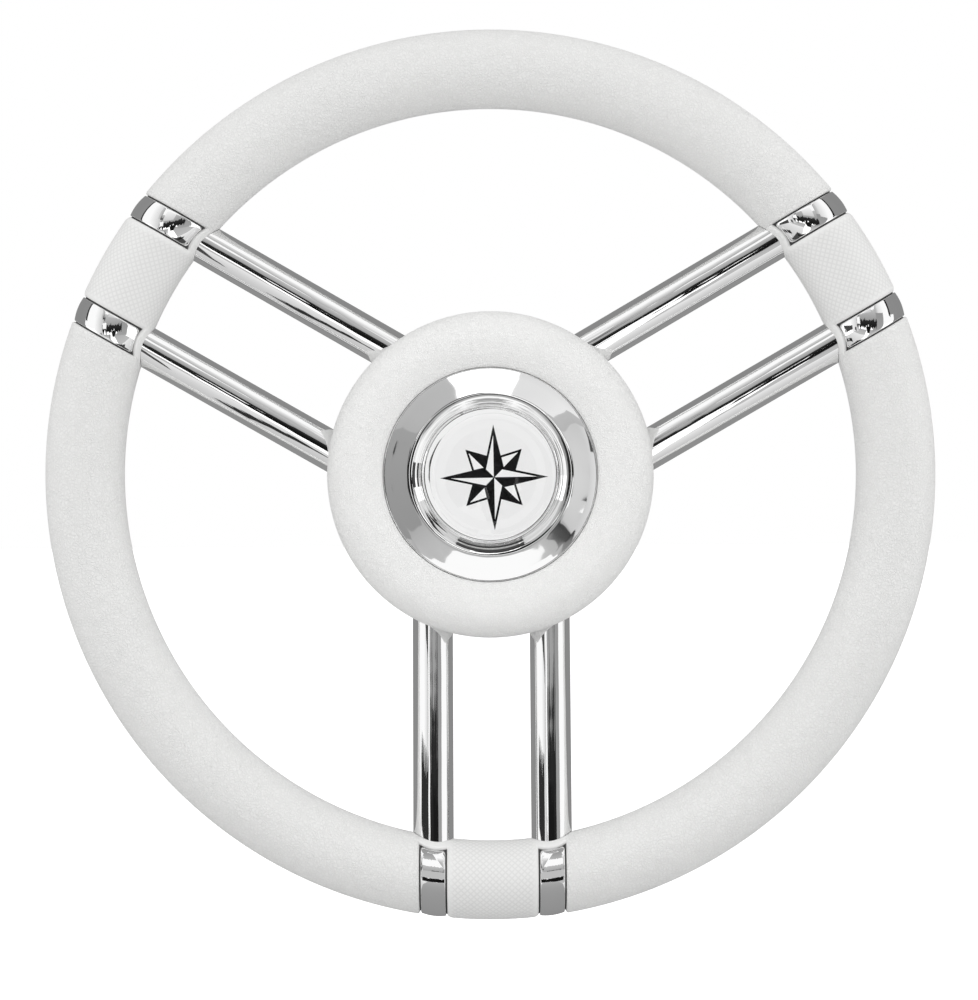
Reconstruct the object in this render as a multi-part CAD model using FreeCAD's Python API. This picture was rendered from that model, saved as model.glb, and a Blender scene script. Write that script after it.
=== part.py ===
import FreeCAD, Part
import math
import os

# A boat's steering wheel: a moulded grip on a steel ring, three pairs of
# polished tube spokes, six polished trim bands, and a hub with a padded ring,
# a polished centre cap and a compass rose under a clear dome.
#
# Frame, in millimetres: the wheel stands upright and faces -Y. The shaft leaves
# along +Y, +Z is up, and the origin is on the shaft's line, in the hub's rear
# face. Depths below are given from the rim's middle plane, towards the rear.

# Rim
WHEEL_D = 350.0             # over the grip
GRIP_D = 31.0               # the grip's round section
REACH = 52.0                # from the hub's rear face to the rim's middle plane
CORE_D = 18.0               # the steel ring inside the grip
CORE_WALL = 1.5

# Spokes: twin tubes that lean back from the rim to the hub, evenly placed and
# named anticlockwise, as the driver sees them
PAIRS = ("right", "left", "bottom")
FIRST_ANGLE = 30.0          # degrees, from +X to the first pair
SPOKE_D = 16.0
SPOKE_WALL = 1.5
SPOKE_SPACING = 46.6        # between the two tubes of a pair
SPOKE_SEAT = 30.0           # from the shaft's line to the tube's end in its socket
DISH = 18.0                 # how far behind the rim the tube's seated end lies

# Trim bands, and the recesses that hold them flush in the grip
BAND_W = 10.0
BAND_T = 1.0
BAND_SET = 0.35             # the band's face below the grip's
BAND_GAP = 0.35             # between a band and its recess, all round
BAND_ROUND = 0.3            # the band's softened edges
COLLAR_WALL = 3.5           # the grip's own collar round each tube

# Padded ring and rear cover: they meet at the spokes and share the hub's outline
HUB_D = 129.0
HUB_WALL = 3.0
HUB_GAP = 0.2               # where the two meet, and round the tubes
HUB_EDGE = 0.5              # their chamfers there, and round the cover's hole
PAD_LAND = 2.0              # straight wall in front of the tubes
PAD_ROUND = 11.5            # the pad's outer shoulder
PAD_CROWN = 24.0            # the gentler round from its crest to its mouth
COVER_ROUND = 10.0
COVER_WALL = 2.5
COVER_DEPTH = 20.0          # from the split to the rear of the shoulder
COVER_RISE = 4.5            # how far the cover's cone rises to the boss
COVER_BOSS_GAP = 0.7        # round the hub's boss

# Carrier: the stiff ring that the pad is moulded on, and that holds the cap
CARRIER_T = 3.5
CARRIER_EDGE = 2.3          # its rim inside the pad's wall
CARRIER_COLLAR_T = 2.5
CARRIER_COLLAR_TAIL = 1.2
SOCKET_CLEARANCE = 0.75

# Centre cap
CAP_D = 84.0
CAP_GAP = 0.25              # between the cap's edge and the pad
CAP_T = 1.4
CAP_SLOPE = 17.0            # degrees, of the dished ring inside the cap's edge
CAP_SUNK = 2.7              # the cap's edge below the pad's crest
CAP_FILLET = 4.0
BOSS_D = 55.2               # the raised middle of the cap
BOSS_H = 5.8
LIP_W = 1.3
LABEL_RECESS = 1.0
SKIRT_D = 73.6
SKIRT_GAP = 0.2             # between the skirt and the carrier's collar
SEAL_D = 2.0                # the rubber ring that grips the skirt

# Label under its clear dome
LABEL_PLAY = 1.7            # between the label and the wall of its recess
LABEL_T = 0.5
LABEL_SHIFT = (0.5, -0.35)  # share of that play by which it sits off the middle
PRINT_MARGIN = 1.6          # between the print and the label's edge
PRINT_SHIFT = (0.35, -0.35)  # share of that margin by which the print sits off
PRINT_T = 0.1
DOME_EDGE = 0.4
DOME_H = 1.6

# Compass rose, in shares of the print's radius
ROSE_LONG = (0.922, 0.900)  # the long points: across, and up and down
ROSE_NOTCH = 0.235
ROSE_SHORT = (0.678, 0.678)  # the short points between them
ROSE_SHORT_NOTCH = 0.335
ROSE_LINE = 0.033           # its dark outline
ROSE_PARTING = 0.004        # between two prints that would meet in a point
ROSE_TURN = 0.6             # degrees that it is pressed on askew

# Hub casting with its tapered bore
BOSS_REAR_D = 33.0
BOSS_FRONT_D = 42.0
BOSS_STEP = 2.0             # on the radius, behind the web
BOSS_CHAMFER = 1.0          # round the rear face
SHAFT_D = 19.05             # three quarters of an inch at the rear face
SHAFT_TAPER = 1.0 / 12.0    # on the diameter
SHAFT_SEAT = 28.0           # length of the tapered bore
KEY_W = 4.8
KEY_DEPTH = 2.4
NUT_POCKET_D = 34.0
WEB_D = 84.0
WEB_T = 6.0
SOCKET_WALL = 2.5
SOCKET_END = 46.0           # from the shaft's line, along the spokes
SOCKET_START = 10.0
RIB_T = 4.0
RIB_H = 9.0
CASTING_GAP = 2.5           # between the boss's front and the carrier

# Fasteners
PAD_SCREW_D = 5.0
PAD_SCREW_PCD = 100.0
COVER_SCREW_D = 4.0
COVER_SCREW_PCD = 76.0
GRUB_D = 5.0
GRUB_STATION = 38.0         # along the spokes, from the shaft's line
GRUB_BOSS_H = 3.0
POST_WALL = 2.2
POST_FLOOR = 1.0            # left at the bottom of a post's blind hole
SCREW_END = 0.5             # a screw's end, from where its hole ends
PAN_RATIO = 1.9             # a pan head's width to its thread
PAN_H_RATIO = 0.6
PAN_ROUND_RATIO = 0.6       # the head's rounded edge to its height
DRIVER_RATIO = 0.5          # a driver's hexagon to the thread
DRIVER_DEPTH_RATIO = 0.7    # the hexagon's depth to the head's height

# Sizes that follow
GRIP_R = GRIP_D / 2
RIM_R = (WHEEL_D - GRIP_D) / 2
CORE_R = CORE_D / 2
TUBE_R = SPOKE_D / 2
HALF = SPOKE_SPACING / 2
RIM_Y = -REACH
CORE_STATION = math.sqrt(RIM_R ** 2 - HALF ** 2)
HUB_R = HUB_D / 2

STEP = 360.0 / len(PAIRS)
SPOKE_ANGLES = [FIRST_ANGLE + STEP * index for index in range(len(PAIRS))]

O = FreeCAD.Vector(0, 0, 0)
SHAFT_AXIS = FreeCAD.Vector(0, 1, 0)
TOUCH = 1e-4                # two points closer than this are one


def depth(from_rim):
    """The Y of a place that many millimetres behind the rim's middle plane."""
    return RIM_Y + from_rim


def spoke_depth(station):
    """How far behind the rim a spoke's own line lies, at a station along the pair."""
    return DISH * (CORE_STATION - station) / (CORE_STATION - SPOKE_SEAT)


def boss_radius(at_depth):
    """The hub boss tapers from the nut pocket's floor to its rear face."""
    share = (REACH - at_depth) / SHAFT_SEAT
    return BOSS_REAR_D / 2 + share * (BOSS_FRONT_D / 2 - BOSS_STEP - BOSS_REAR_D / 2)


# Depths in the hub, from the front to the rear
HUB_STATION = math.sqrt(HUB_R ** 2 - HALF ** 2)
SPLIT = spoke_depth(HUB_STATION)
SHOULDER = SPLIT - TUBE_R - PAD_LAND
CREST = SHOULDER - PAD_ROUND
CREST_R = HUB_R - PAD_ROUND
SOCKET_R = TUBE_R + SOCKET_WALL
CARRIER_REAR = spoke_depth(SOCKET_END) - SOCKET_R - SOCKET_CLEARANCE
CARRIER_FRONT = CARRIER_REAR - CARRIER_T
WEB_REAR = DISH
WEB_FRONT = WEB_REAR - WEB_T
POCKET_FLOOR = REACH - SHAFT_SEAT
POCKET_MOUTH = CARRIER_REAR + CASTING_GAP
COVER_SHOULDER = SPLIT + COVER_DEPTH
COVER_REAR = COVER_SHOULDER + COVER_RISE
COVER_HOLE_R = boss_radius(COVER_REAR - COVER_WALL) + COVER_BOSS_GAP

# Depths and radii in the centre cap, whose dished ring is a cone
CAP_R = CAP_D / 2
BOSS_R = BOSS_D / 2
CAP_EDGE = CREST + CAP_SUNK
CAP_LEAN = math.tan(math.radians(CAP_SLOPE))
FOOT_R = BOSS_R + CAP_FILLET
CONE_FOOT_R = FOOT_R + CAP_FILLET * math.sin(math.radians(CAP_SLOPE))
CONE_FOOT = CAP_EDGE + (CAP_R - CONE_FOOT_R) * CAP_LEAN
FOOT = CONE_FOOT - CAP_FILLET * math.cos(math.radians(CAP_SLOPE))
HOLLOW = FOOT + CAP_FILLET
LIP = HOLLOW - BOSS_H
RECESS = LIP + LABEL_RECESS
RECESS_R = BOSS_R - LIP_W
LABEL_R = RECESS_R - LABEL_PLAY
PRINT_R = LABEL_R - PRINT_MARGIN
SKIRT_R = SKIRT_D / 2
COLLAR_R = SKIRT_R + SKIRT_GAP
COLLAR_OUT = COLLAR_R + CARRIER_COLLAR_T
COLLAR_REAR = CARRIER_REAR + CARRIER_COLLAR_TAIL
SKIRT_END = COLLAR_REAR - 2 * SKIRT_GAP
SEAL_DEPTH = (CARRIER_FRONT + SKIRT_END) / 2


def under_cap(radius):
    """The depth that clears the cap's dished ring from behind, at a radius."""
    return CAP_EDGE + CAP_T + CAP_GAP + max(0.0, CAP_R - radius) * CAP_LEAN


def face_of(start, *steps):
    """A flat face in the XY plane. A step is a corner (radius, Y), or for an
    arc a pair of such points: one that it passes through, and its end."""
    def at(point):
        return FreeCAD.Vector(point[0], point[1], 0)

    edges = []
    here = start
    for step in list(steps) + [start]:
        curved = isinstance(step[0], tuple)
        end = step[1] if curved else step
        if curved:
            edges.append(Part.Arc(at(here), at(step[0]), at(end)).toShape())
        elif at(here).distanceToPoint(at(end)) > TOUCH:
            edges.append(Part.makeLine(at(here), at(end)))
        here = end
    return Part.Face(Part.Wire(edges))


def turned(start, *steps):
    """A solid of revolution about the shaft's line."""
    return face_of(start, *steps).revolve(O, SHAFT_AXIS, 360)


def on_circle(centre, radius, degrees):
    """A point of a circle in the turning profile, from +radius towards +Y."""
    angle = math.radians(degrees)
    return (centre[0] + radius * math.cos(angle), centre[1] + radius * math.sin(angle))


def turned_round(shape, degrees):
    """A copy turned anticlockwise, as the driver sees the wheel."""
    copy = shape.copy()
    copy.rotate(O, SHAFT_AXIS, -degrees)
    return copy


def on_each_pair(shape):
    return [turned_round(shape, angle) for angle in SPOKE_ANGLES]


def between_pairs(shape):
    return [turned_round(shape, angle + STEP / 2) for angle in SPOKE_ANGLES]


def rod(radius, start, end):
    """A round bar between two points."""
    run = FreeCAD.Vector(*end) - FreeCAD.Vector(*start)
    return Part.makeCylinder(radius, run.Length, FreeCAD.Vector(*start), run)


def along_spoke(radius, start, end, side):
    """A round bar on a spoke's line, between two stations. The pair points
    along +X here, and side is +1 or -1 for its two tubes."""
    first = (start, depth(spoke_depth(start)), side * HALF)
    last = (end, depth(spoke_depth(end)), side * HALF)
    return rod(radius, first, last)


def on_all_spokes(radius, start, end):
    bars = []
    for side in (1, -1):
        bars += on_each_pair(along_spoke(radius, start, end, side))
    return bars


def shaftwise(radius, station, start, end):
    """A round bar parallel to the shaft, on +X, between two depths."""
    return rod(radius, (station, depth(start), 0), (station, depth(end), 0))


def ring_of(radius):
    """A full ring of round section on the rim's circle."""
    section = Part.Face(Part.Wire(Part.makeCircle(radius, FreeCAD.Vector(RIM_R, RIM_Y, 0))))
    return section.revolve(O, SHAFT_AXIS, 360)


def ring_piece(radius, half_angle):
    """A stretch of such a ring about +X."""
    section = Part.Face(Part.Wire(Part.makeCircle(radius, FreeCAD.Vector(RIM_R, RIM_Y, 0))))
    piece = section.revolve(O, SHAFT_AXIS, 2 * half_angle)
    piece.rotate(O, SHAFT_AXIS, -half_angle)
    return piece


def band_blank(outer, inner, width, collar, side):
    """A C-shaped strap round the grip's section, with sides parallel to the
    spoke and ends that run round the tube's collar."""
    half_angle = math.degrees(math.asin((HALF + width) / (RIM_R - GRIP_R)))
    shell = ring_piece(outer, half_angle).cut(ring_piece(inner, half_angle))
    corner = FreeCAD.Vector(0, RIM_Y - GRIP_D, side * HALF - width / 2)
    shell = shell.common(Part.makeBox(WHEEL_D, 2 * GRIP_D, width, corner))
    return shell.cut(along_spoke(collar, SPOKE_SEAT, CORE_STATION, side))


def grip():
    """The grip: one moulding over the core, with six recesses for the bands."""
    collar = TUBE_R + COLLAR_WALL
    floor = GRIP_R - BAND_SET - BAND_T
    width = BAND_W + 2 * BAND_GAP
    recesses = []
    for side in (1, -1):
        recesses += on_each_pair(band_blank(GRIP_R + BAND_T, floor, width, collar, side))
    body = ring_of(GRIP_R).cut(recesses)
    body = body.cut(ring_of(CORE_R))
    return body.cut(on_all_spokes(TUBE_R, SPOKE_SEAT, CORE_STATION))


def core():
    """The bent and welded steel ring that stiffens the rim."""
    return ring_of(CORE_R).cut(ring_of(CORE_R - CORE_WALL))


def spoke(side):
    """A polished tube, coped to fit the core at one end."""
    tube = along_spoke(TUBE_R, SPOKE_SEAT, CORE_STATION, side)
    tube = tube.cut(along_spoke(TUBE_R - SPOKE_WALL, SPOKE_SEAT, CORE_STATION, side))
    half_angle = math.degrees(math.asin((HALF + SPOKE_D) / RIM_R))
    tube = tube.cut(ring_piece(CORE_R, half_angle))
    return max(tube.Solids, key=lambda solid: solid.Volume)


def trim_band(side):
    """A polished strap, pressed into its recess."""
    collar = TUBE_R + COLLAR_WALL + BAND_GAP
    face = GRIP_R - BAND_SET
    strap = band_blank(face, face - BAND_T, BAND_W, collar, side)
    edges = []
    for edge in strap.Edges:
        middle = edge.valueAt((edge.FirstParameter + edge.LastParameter) / 2)
        lift = math.hypot(math.hypot(middle.x, middle.z) - RIM_R, middle.y - RIM_Y)
        beside = abs(abs(middle.z - side * HALF) - BAND_W / 2) < TOUCH
        if beside and abs(lift - face) < TOUCH:
            edges.append(edge)
    return strap.makeFillet(BAND_ROUND, edges)


def hub_pad():
    """The soft ring on the hub's front, moulded on the carrier."""
    crown = (CREST_R, depth(CREST + PAD_CROWN))
    mouth_r = CAP_R + CAP_GAP
    lean = math.degrees(math.asin((CREST_R - mouth_r) / PAD_CROWN))
    mouth = on_circle(crown, PAD_CROWN, -90.0 - lean)
    shoulder = (CREST_R, depth(SHOULDER))
    wall_r = HUB_R - HUB_WALL
    carrier_r = wall_r - CARRIER_EDGE
    body = turned(
        mouth,
        (on_circle(crown, PAD_CROWN, -90.0 - lean / 2), (CREST_R, depth(CREST))),
        (on_circle(shoulder, PAD_ROUND, -45.0), (HUB_R, depth(SHOULDER))),
        (HUB_R, depth(SPLIT) - HUB_GAP / 2 - HUB_EDGE),
        (HUB_R - HUB_EDGE, depth(SPLIT) - HUB_GAP / 2),
        (wall_r, depth(SPLIT) - HUB_GAP / 2),
        (wall_r, depth(CARRIER_REAR)),
        (carrier_r, depth(CARRIER_REAR)),
        (carrier_r, depth(CARRIER_FRONT)),
        (COLLAR_OUT, depth(CARRIER_FRONT)),
        (COLLAR_OUT, depth(under_cap(COLLAR_OUT))),
        (mouth_r, depth(under_cap(mouth_r))),
    )
    return body.cut(on_all_spokes(TUBE_R + HUB_GAP, SPOKE_SEAT, CORE_STATION))


def pad_carrier():
    """The stiff ring inside the pad, with a collar that the cap presses into."""
    carrier_r = HUB_R - HUB_WALL - CARRIER_EDGE
    body = turned(
        (COLLAR_R, depth(under_cap(COLLAR_R))),
        (COLLAR_OUT, depth(under_cap(COLLAR_R))),
        (COLLAR_OUT, depth(CARRIER_FRONT)),
        (carrier_r, depth(CARRIER_FRONT)),
        (carrier_r, depth(CARRIER_REAR)),
        (COLLAR_OUT, depth(CARRIER_REAR)),
        (COLLAR_OUT, depth(COLLAR_REAR)),
        (COLLAR_R, depth(COLLAR_REAR)),
    )
    post_r = PAD_SCREW_D / 2 + POST_WALL
    station = PAD_SCREW_PCD / 2
    post = shaftwise(post_r, station, (CARRIER_FRONT + CARRIER_REAR) / 2, WEB_FRONT)
    hole = shaftwise(PAD_SCREW_D / 2, station, CARRIER_FRONT + POST_FLOOR, WEB_FRONT)
    return body.fuse(between_pairs(post)).cut(between_pairs(hole))


def hub_casting():
    """Boss, web, six tube sockets, three lugs and ribs, bored for the shaft."""
    front_r = BOSS_FRONT_D / 2
    rear_r = BOSS_REAR_D / 2
    body = turned(
        (0, depth(POCKET_MOUTH)),
        (front_r, depth(POCKET_MOUTH)),
        (front_r, depth(WEB_FRONT)),
        (WEB_D / 2, depth(WEB_FRONT)),
        (WEB_D / 2, depth(WEB_REAR)),
        (front_r, depth(WEB_REAR)),
        (front_r - BOSS_STEP, depth(POCKET_FLOOR)),
        (boss_radius(REACH - BOSS_CHAMFER), -BOSS_CHAMFER),
        (rear_r - BOSS_CHAMFER, 0),
        (0, 0),
    )
    lug_r = PAD_SCREW_D / 2 + 2 * POST_WALL
    station = PAD_SCREW_PCD / 2
    lug = shaftwise(lug_r, station, WEB_FRONT, WEB_REAR)
    arm_corner = FreeCAD.Vector(front_r - BOSS_STEP, depth(WEB_FRONT), -lug_r)
    arm = Part.makeBox(station - front_r + BOSS_STEP, WEB_T, 2 * lug_r, arm_corner)
    rib = rib_blank(boss_radius(WEB_REAR + RIB_H) - BOSS_STEP, station - lug_r, WEB_REAR)
    post_r = COVER_SCREW_D / 2 + POST_WALL
    post = shaftwise(post_r, COVER_SCREW_PCD / 2, WEB_FRONT, post_end())
    grub_boss = grub_bar(GRUB_D / 2 + POST_WALL, 0.0, SOCKET_R + GRUB_BOSS_H)
    additions = on_all_spokes(SOCKET_R, SOCKET_START, SOCKET_END)
    additions += between_pairs(lug) + between_pairs(arm) + between_pairs(rib)
    additions += on_each_pair(post) + grub_boss
    body = body.fuse(additions)

    bore_front_r = (SHAFT_D - SHAFT_SEAT * SHAFT_TAPER) / 2
    pocket_r = NUT_POCKET_D / 2
    opening = turned(
        (0, depth(POCKET_MOUTH)),
        (pocket_r, depth(POCKET_MOUTH)),
        (pocket_r, depth(POCKET_FLOOR)),
        (bore_front_r, depth(POCKET_FLOOR)),
        (SHAFT_D / 2, 0),
        (0, 0),
    )
    key_corner = FreeCAD.Vector(-KEY_W / 2, depth(POCKET_FLOOR), 0)
    keyway = Part.makeBox(KEY_W, SHAFT_SEAT, SHAFT_D / 2 + KEY_DEPTH, key_corner)
    clear_hole = shaftwise(PAD_SCREW_D / 2, station, WEB_FRONT, WEB_REAR)
    thread_hole = shaftwise(COVER_SCREW_D / 2, COVER_SCREW_PCD / 2, WEB_REAR, post_end())
    cuts = [opening, keyway]
    cuts += on_all_spokes(TUBE_R, SPOKE_SEAT, CORE_STATION)
    cuts += between_pairs(clear_hole) + on_each_pair(thread_hole)
    cuts += grub_bar(GRUB_D / 2, TUBE_R / 2, SOCKET_R + GRUB_BOSS_H)
    return body.cut(cuts)


def rib_blank(inner, outer, foot):
    """A triangular rib behind the web, on +X."""
    corners = [
        FreeCAD.Vector(inner, depth(foot), -RIB_T / 2),
        FreeCAD.Vector(outer, depth(foot), -RIB_T / 2),
        FreeCAD.Vector(inner, depth(foot + RIB_H), -RIB_T / 2),
    ]
    side = Part.Face(Part.makePolygon(corners + corners[:1]))
    return side.extrude(FreeCAD.Vector(0, 0, RIB_T))


def cover_inside(radius):
    """The depth of the rear cover's inner cone at a radius."""
    cone_r = HUB_R - COVER_ROUND
    share = (cone_r - radius) / (cone_r - COVER_HOLE_R)
    return COVER_SHOULDER + COVER_RISE * share - COVER_WALL


def post_end():
    """Where a post of the casting meets the cover's own screw boss."""
    return cover_inside(COVER_SCREW_PCD / 2) - 2 * COVER_WALL


def grub_bar(radius, start, end):
    """Six bars behind the spokes' lines, at the grub screws' station."""
    line = spoke_depth(GRUB_STATION)
    bars = []
    for side in (1, -1):
        first = (GRUB_STATION, depth(line + start), side * HALF)
        last = (GRUB_STATION, depth(line + end), side * HALF)
        bars += on_each_pair(rod(radius, first, last))
    return bars


def rear_cover():
    """The moulded cover behind the hub, open for the boss."""
    mouth = (HUB_R - HUB_EDGE, depth(SPLIT) + HUB_GAP / 2)
    centre = (HUB_R - COVER_ROUND, depth(COVER_SHOULDER) - COVER_ROUND)
    inner_r = COVER_ROUND - COVER_WALL
    body = turned(
        mouth,
        (HUB_R, mouth[1] + HUB_EDGE),
        on_circle(centre, COVER_ROUND, 0.0),
        (on_circle(centre, COVER_ROUND, 45.0), on_circle(centre, COVER_ROUND, 90.0)),
        (COVER_HOLE_R + HUB_EDGE, depth(COVER_REAR)),
        (COVER_HOLE_R, depth(COVER_REAR) - HUB_EDGE),
        (COVER_HOLE_R, depth(COVER_REAR - COVER_WALL)),
        on_circle(centre, inner_r, 90.0),
        (on_circle(centre, inner_r, 45.0), on_circle(centre, inner_r, 0.0)),
        (HUB_R - COVER_WALL, mouth[1]),
    )
    station = COVER_SCREW_PCD / 2
    head_r = PAN_RATIO * COVER_SCREW_D / 2 + HUB_GAP
    floor = post_end() + COVER_WALL
    joined = cover_inside(station) + COVER_WALL / 2
    boss = shaftwise(head_r + POST_WALL / 2, station, post_end(), joined)
    hole = shaftwise(COVER_SCREW_D / 2 + HUB_GAP, station, post_end(), floor)
    sink = shaftwise(head_r, station, floor, COVER_REAR + COVER_WALL)
    body = body.fuse(on_each_pair(boss))
    body = body.cut(on_each_pair(hole) + on_each_pair(sink))
    return body.cut(on_all_spokes(TUBE_R + HUB_GAP, SPOKE_SEAT, CORE_STATION))


def centre_cap():
    """The polished cap: dished ring, raised middle, and a skirt behind."""
    foot = (FOOT_R, depth(FOOT))
    foot_end = 90.0 - CAP_SLOPE
    under_r = CAP_FILLET + CAP_T
    floor = RECESS + CAP_T
    lift = max(0.0, floor - FOOT)
    under_end = 180.0 - math.degrees(math.asin(lift / under_r))
    under_wall = on_circle(foot, under_r, under_end)
    lip_mid = (BOSS_R + RECESS_R) / 2
    groove_r = COLLAR_R - SEAL_D
    half_groove = SEAL_D / 2
    return turned(
        (0, depth(RECESS)),
        (RECESS_R, depth(RECESS)),
        (RECESS_R, depth(LIP) + LIP_W / 2),
        ((lip_mid, depth(LIP)), (BOSS_R, depth(LIP) + LIP_W / 2)),
        on_circle(foot, CAP_FILLET, 180.0),
        (on_circle(foot, CAP_FILLET, 135.0), on_circle(foot, CAP_FILLET, foot_end)),
        (CAP_R, depth(CAP_EDGE)),
        (CAP_R, depth(CAP_EDGE + CAP_T)),
        (SKIRT_R, depth(under_cap(SKIRT_R) - CAP_GAP)),
        (SKIRT_R, depth(SEAL_DEPTH) - half_groove),
        (groove_r, depth(SEAL_DEPTH) - half_groove),
        (groove_r, depth(SEAL_DEPTH) + half_groove),
        (SKIRT_R, depth(SEAL_DEPTH) + half_groove),
        (SKIRT_R, depth(SKIRT_END)),
        (groove_r - CAP_T, depth(SKIRT_END)),
        (groove_r - CAP_T, depth(HOLLOW + CAP_T)),
        on_circle(foot, under_r, 90.0),
        (on_circle(foot, under_r, (90.0 + under_end) / 2), under_wall),
        (under_wall[0], depth(floor)),
        (0, depth(floor)),
    )


def seal_ring():
    """The rubber ring in the skirt's groove."""
    centre = FreeCAD.Vector(COLLAR_R - SEAL_D / 2, depth(SEAL_DEPTH), 0)
    section = Part.Face(Part.Wire(Part.makeCircle(SEAL_D / 2, centre)))
    return section.revolve(O, SHAFT_AXIS, 360)


def disc(radius, start, end, middle):
    """A flat round piece between two depths, about a middle (x, z)."""
    return rod(radius, (middle[0], depth(start), middle[1]), (middle[0], depth(end), middle[1]))


def star(tips, notch, turn):
    """The corners of a four-pointed star, as (x, z) from its middle."""
    shares = (tips[0], notch, tips[1], notch) * 2
    corners = []
    for step, share in enumerate(shares):
        reach = share * PRINT_R
        angle = math.radians(turn + 360.0 * step / len(shares))
        corners.append((reach * math.cos(angle), reach * math.sin(angle)))
    return corners


def flat(corners):
    """A flat face in the plane of the wheel from (x, z) corners."""
    points = [FreeCAD.Vector(x, 0, z) for x, z in corners]
    return Part.Face(Part.makePolygon(points + points[:1]))


def rose():
    """The printed rose as two flat faces: the dark halves with their outlines,
    and the light halves. Each point is dark on its clockwise side."""
    long_star = star(ROSE_LONG, ROSE_NOTCH, ROSE_TURN)
    short_star = star(ROSE_SHORT, ROSE_SHORT_NOTCH, ROSE_TURN + 45.0)
    front = flat(long_star)
    back = flat(short_star)
    outline = front.fuse(back).removeSplitter()
    lights = []
    for corners, whole, hidden in ((long_star, front, []), (short_star, back, [front])):
        inside = whole.makeOffset2D(-ROSE_LINE * PRINT_R, 2)
        for step in range(0, 8, 2):
            half = flat([(0, 0), corners[step], corners[step + 1]]).common(inside)
            half = half.cut(hidden) if hidden else half
            lights.append(half.Faces[0].makeOffset2D(-ROSE_PARTING * PRINT_R, 2))
    return outline.cut(lights), Part.makeCompound(lights)


def dial():
    """Label, its two prints set into its face, and the clear dome."""
    seat = RECESS
    face = seat - LABEL_T
    label_at = [LABEL_PLAY * share for share in LABEL_SHIFT]
    print_at = [at + PRINT_MARGIN * share for at, share in zip(label_at, PRINT_SHIFT)]
    inset = FreeCAD.Vector(print_at[0], depth(face), print_at[1])
    thick = FreeCAD.Vector(0, PRINT_T, 0)
    prints = []
    for layer in rose():
        layer.translate(inset)
        prints.append(layer.extrude(thick))
    ground = disc(PRINT_R, face, face + PRINT_T, print_at).cut(prints)
    label = disc(LABEL_R, face, seat, label_at).cut(prints + [ground])
    rise = DOME_H - DOME_EDGE
    dome_r = (LABEL_R ** 2 + rise ** 2) / (2 * rise)
    centre = (0, depth(face - DOME_H) + dome_r)
    lean = math.degrees(math.asin(LABEL_R / dome_r))
    dome = turned(
        (0, depth(face)),
        (LABEL_R, depth(face)),
        (LABEL_R, depth(face - DOME_EDGE)),
        (on_circle(centre, dome_r, -90.0 + lean / 2), (0, depth(face - DOME_H))),
    )
    dome.translate(FreeCAD.Vector(label_at[0], 0, label_at[1]))
    return {
        "dial_label": label,
        "dial_ground": ground,
        "rose_dark": prints[0],
        "rose_light": prints[1],
        "dial_dome": dome,
    }


def pan_screw(thread, seat, tip, station):
    """A pan-head screw on +X: its head behind the seat, its tip to the front."""
    head_r = PAN_RATIO * thread / 2
    head_h = PAN_H_RATIO * thread
    crown = PAN_ROUND_RATIO * head_h
    profile = face_of(
        (0, depth(tip)),
        (thread / 2, depth(tip)),
        (thread / 2, depth(seat)),
        (head_r, depth(seat)),
        (head_r, depth(seat) + head_h - crown),
        (on_circle((head_r - crown, depth(seat) + head_h - crown), crown, 45.0),
         (head_r - crown, depth(seat) + head_h)),
        (0, depth(seat) + head_h),
    )
    screw = profile.revolve(O, SHAFT_AXIS, 360)
    bottom = seat + (1.0 - DRIVER_DEPTH_RATIO) * head_h
    screw = screw.cut(hexagon(DRIVER_RATIO * thread, bottom, seat + head_h))
    screw.translate(FreeCAD.Vector(station, 0, 0))
    return screw


def hexagon(across, start, end):
    """A six-sided prism on the shaft's line, sized across its flats."""
    reach = across / math.sqrt(3)
    corners = []
    for step in range(6):
        angle = math.radians(60.0 * step)
        corners.append(FreeCAD.Vector(reach * math.cos(angle), depth(start), reach * math.sin(angle)))
    return Part.Face(Part.makePolygon(corners + corners[:1])).extrude(FreeCAD.Vector(0, end - start, 0))


def pad_screws():
    tip = CARRIER_FRONT + POST_FLOOR + SCREW_END
    screw = pan_screw(PAD_SCREW_D, WEB_REAR, tip, PAD_SCREW_PCD / 2)
    return Part.makeCompound(between_pairs(screw))


def cover_screws():
    seat = post_end() + COVER_WALL
    screw = pan_screw(COVER_SCREW_D, seat, WEB_REAR + SCREW_END, COVER_SCREW_PCD / 2)
    return Part.makeCompound(on_each_pair(screw))


def grub_screws():
    """The six screws that lock the tubes in their sockets."""
    blanks = grub_bar(GRUB_D / 2, TUBE_R / 2, SOCKET_R + GRUB_BOSS_H - SCREW_END)
    tubes = on_all_spokes(TUBE_R, SPOKE_SEAT, SOCKET_END)
    driver = hexagon(DRIVER_RATIO * GRUB_D, 0.0, GRUB_D / 2)
    screws = []
    for blank, tube in zip(blanks, tubes):
        end = max(blank.Faces, key=lambda face: face.CenterOfMass.y).CenterOfMass
        drive = driver.copy()
        drive.translate(FreeCAD.Vector(end.x, end.y - GRUB_D / 2 - RIM_Y, end.z))
        screws.append(blank.cut([tube, drive]))
    return Part.makeCompound(screws)


SIDES = {
    "right": {"upper": 1, "lower": -1},
    "left": {"upper": -1, "lower": 1},
    "bottom": {"right": 1, "left": -1},
}


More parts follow.
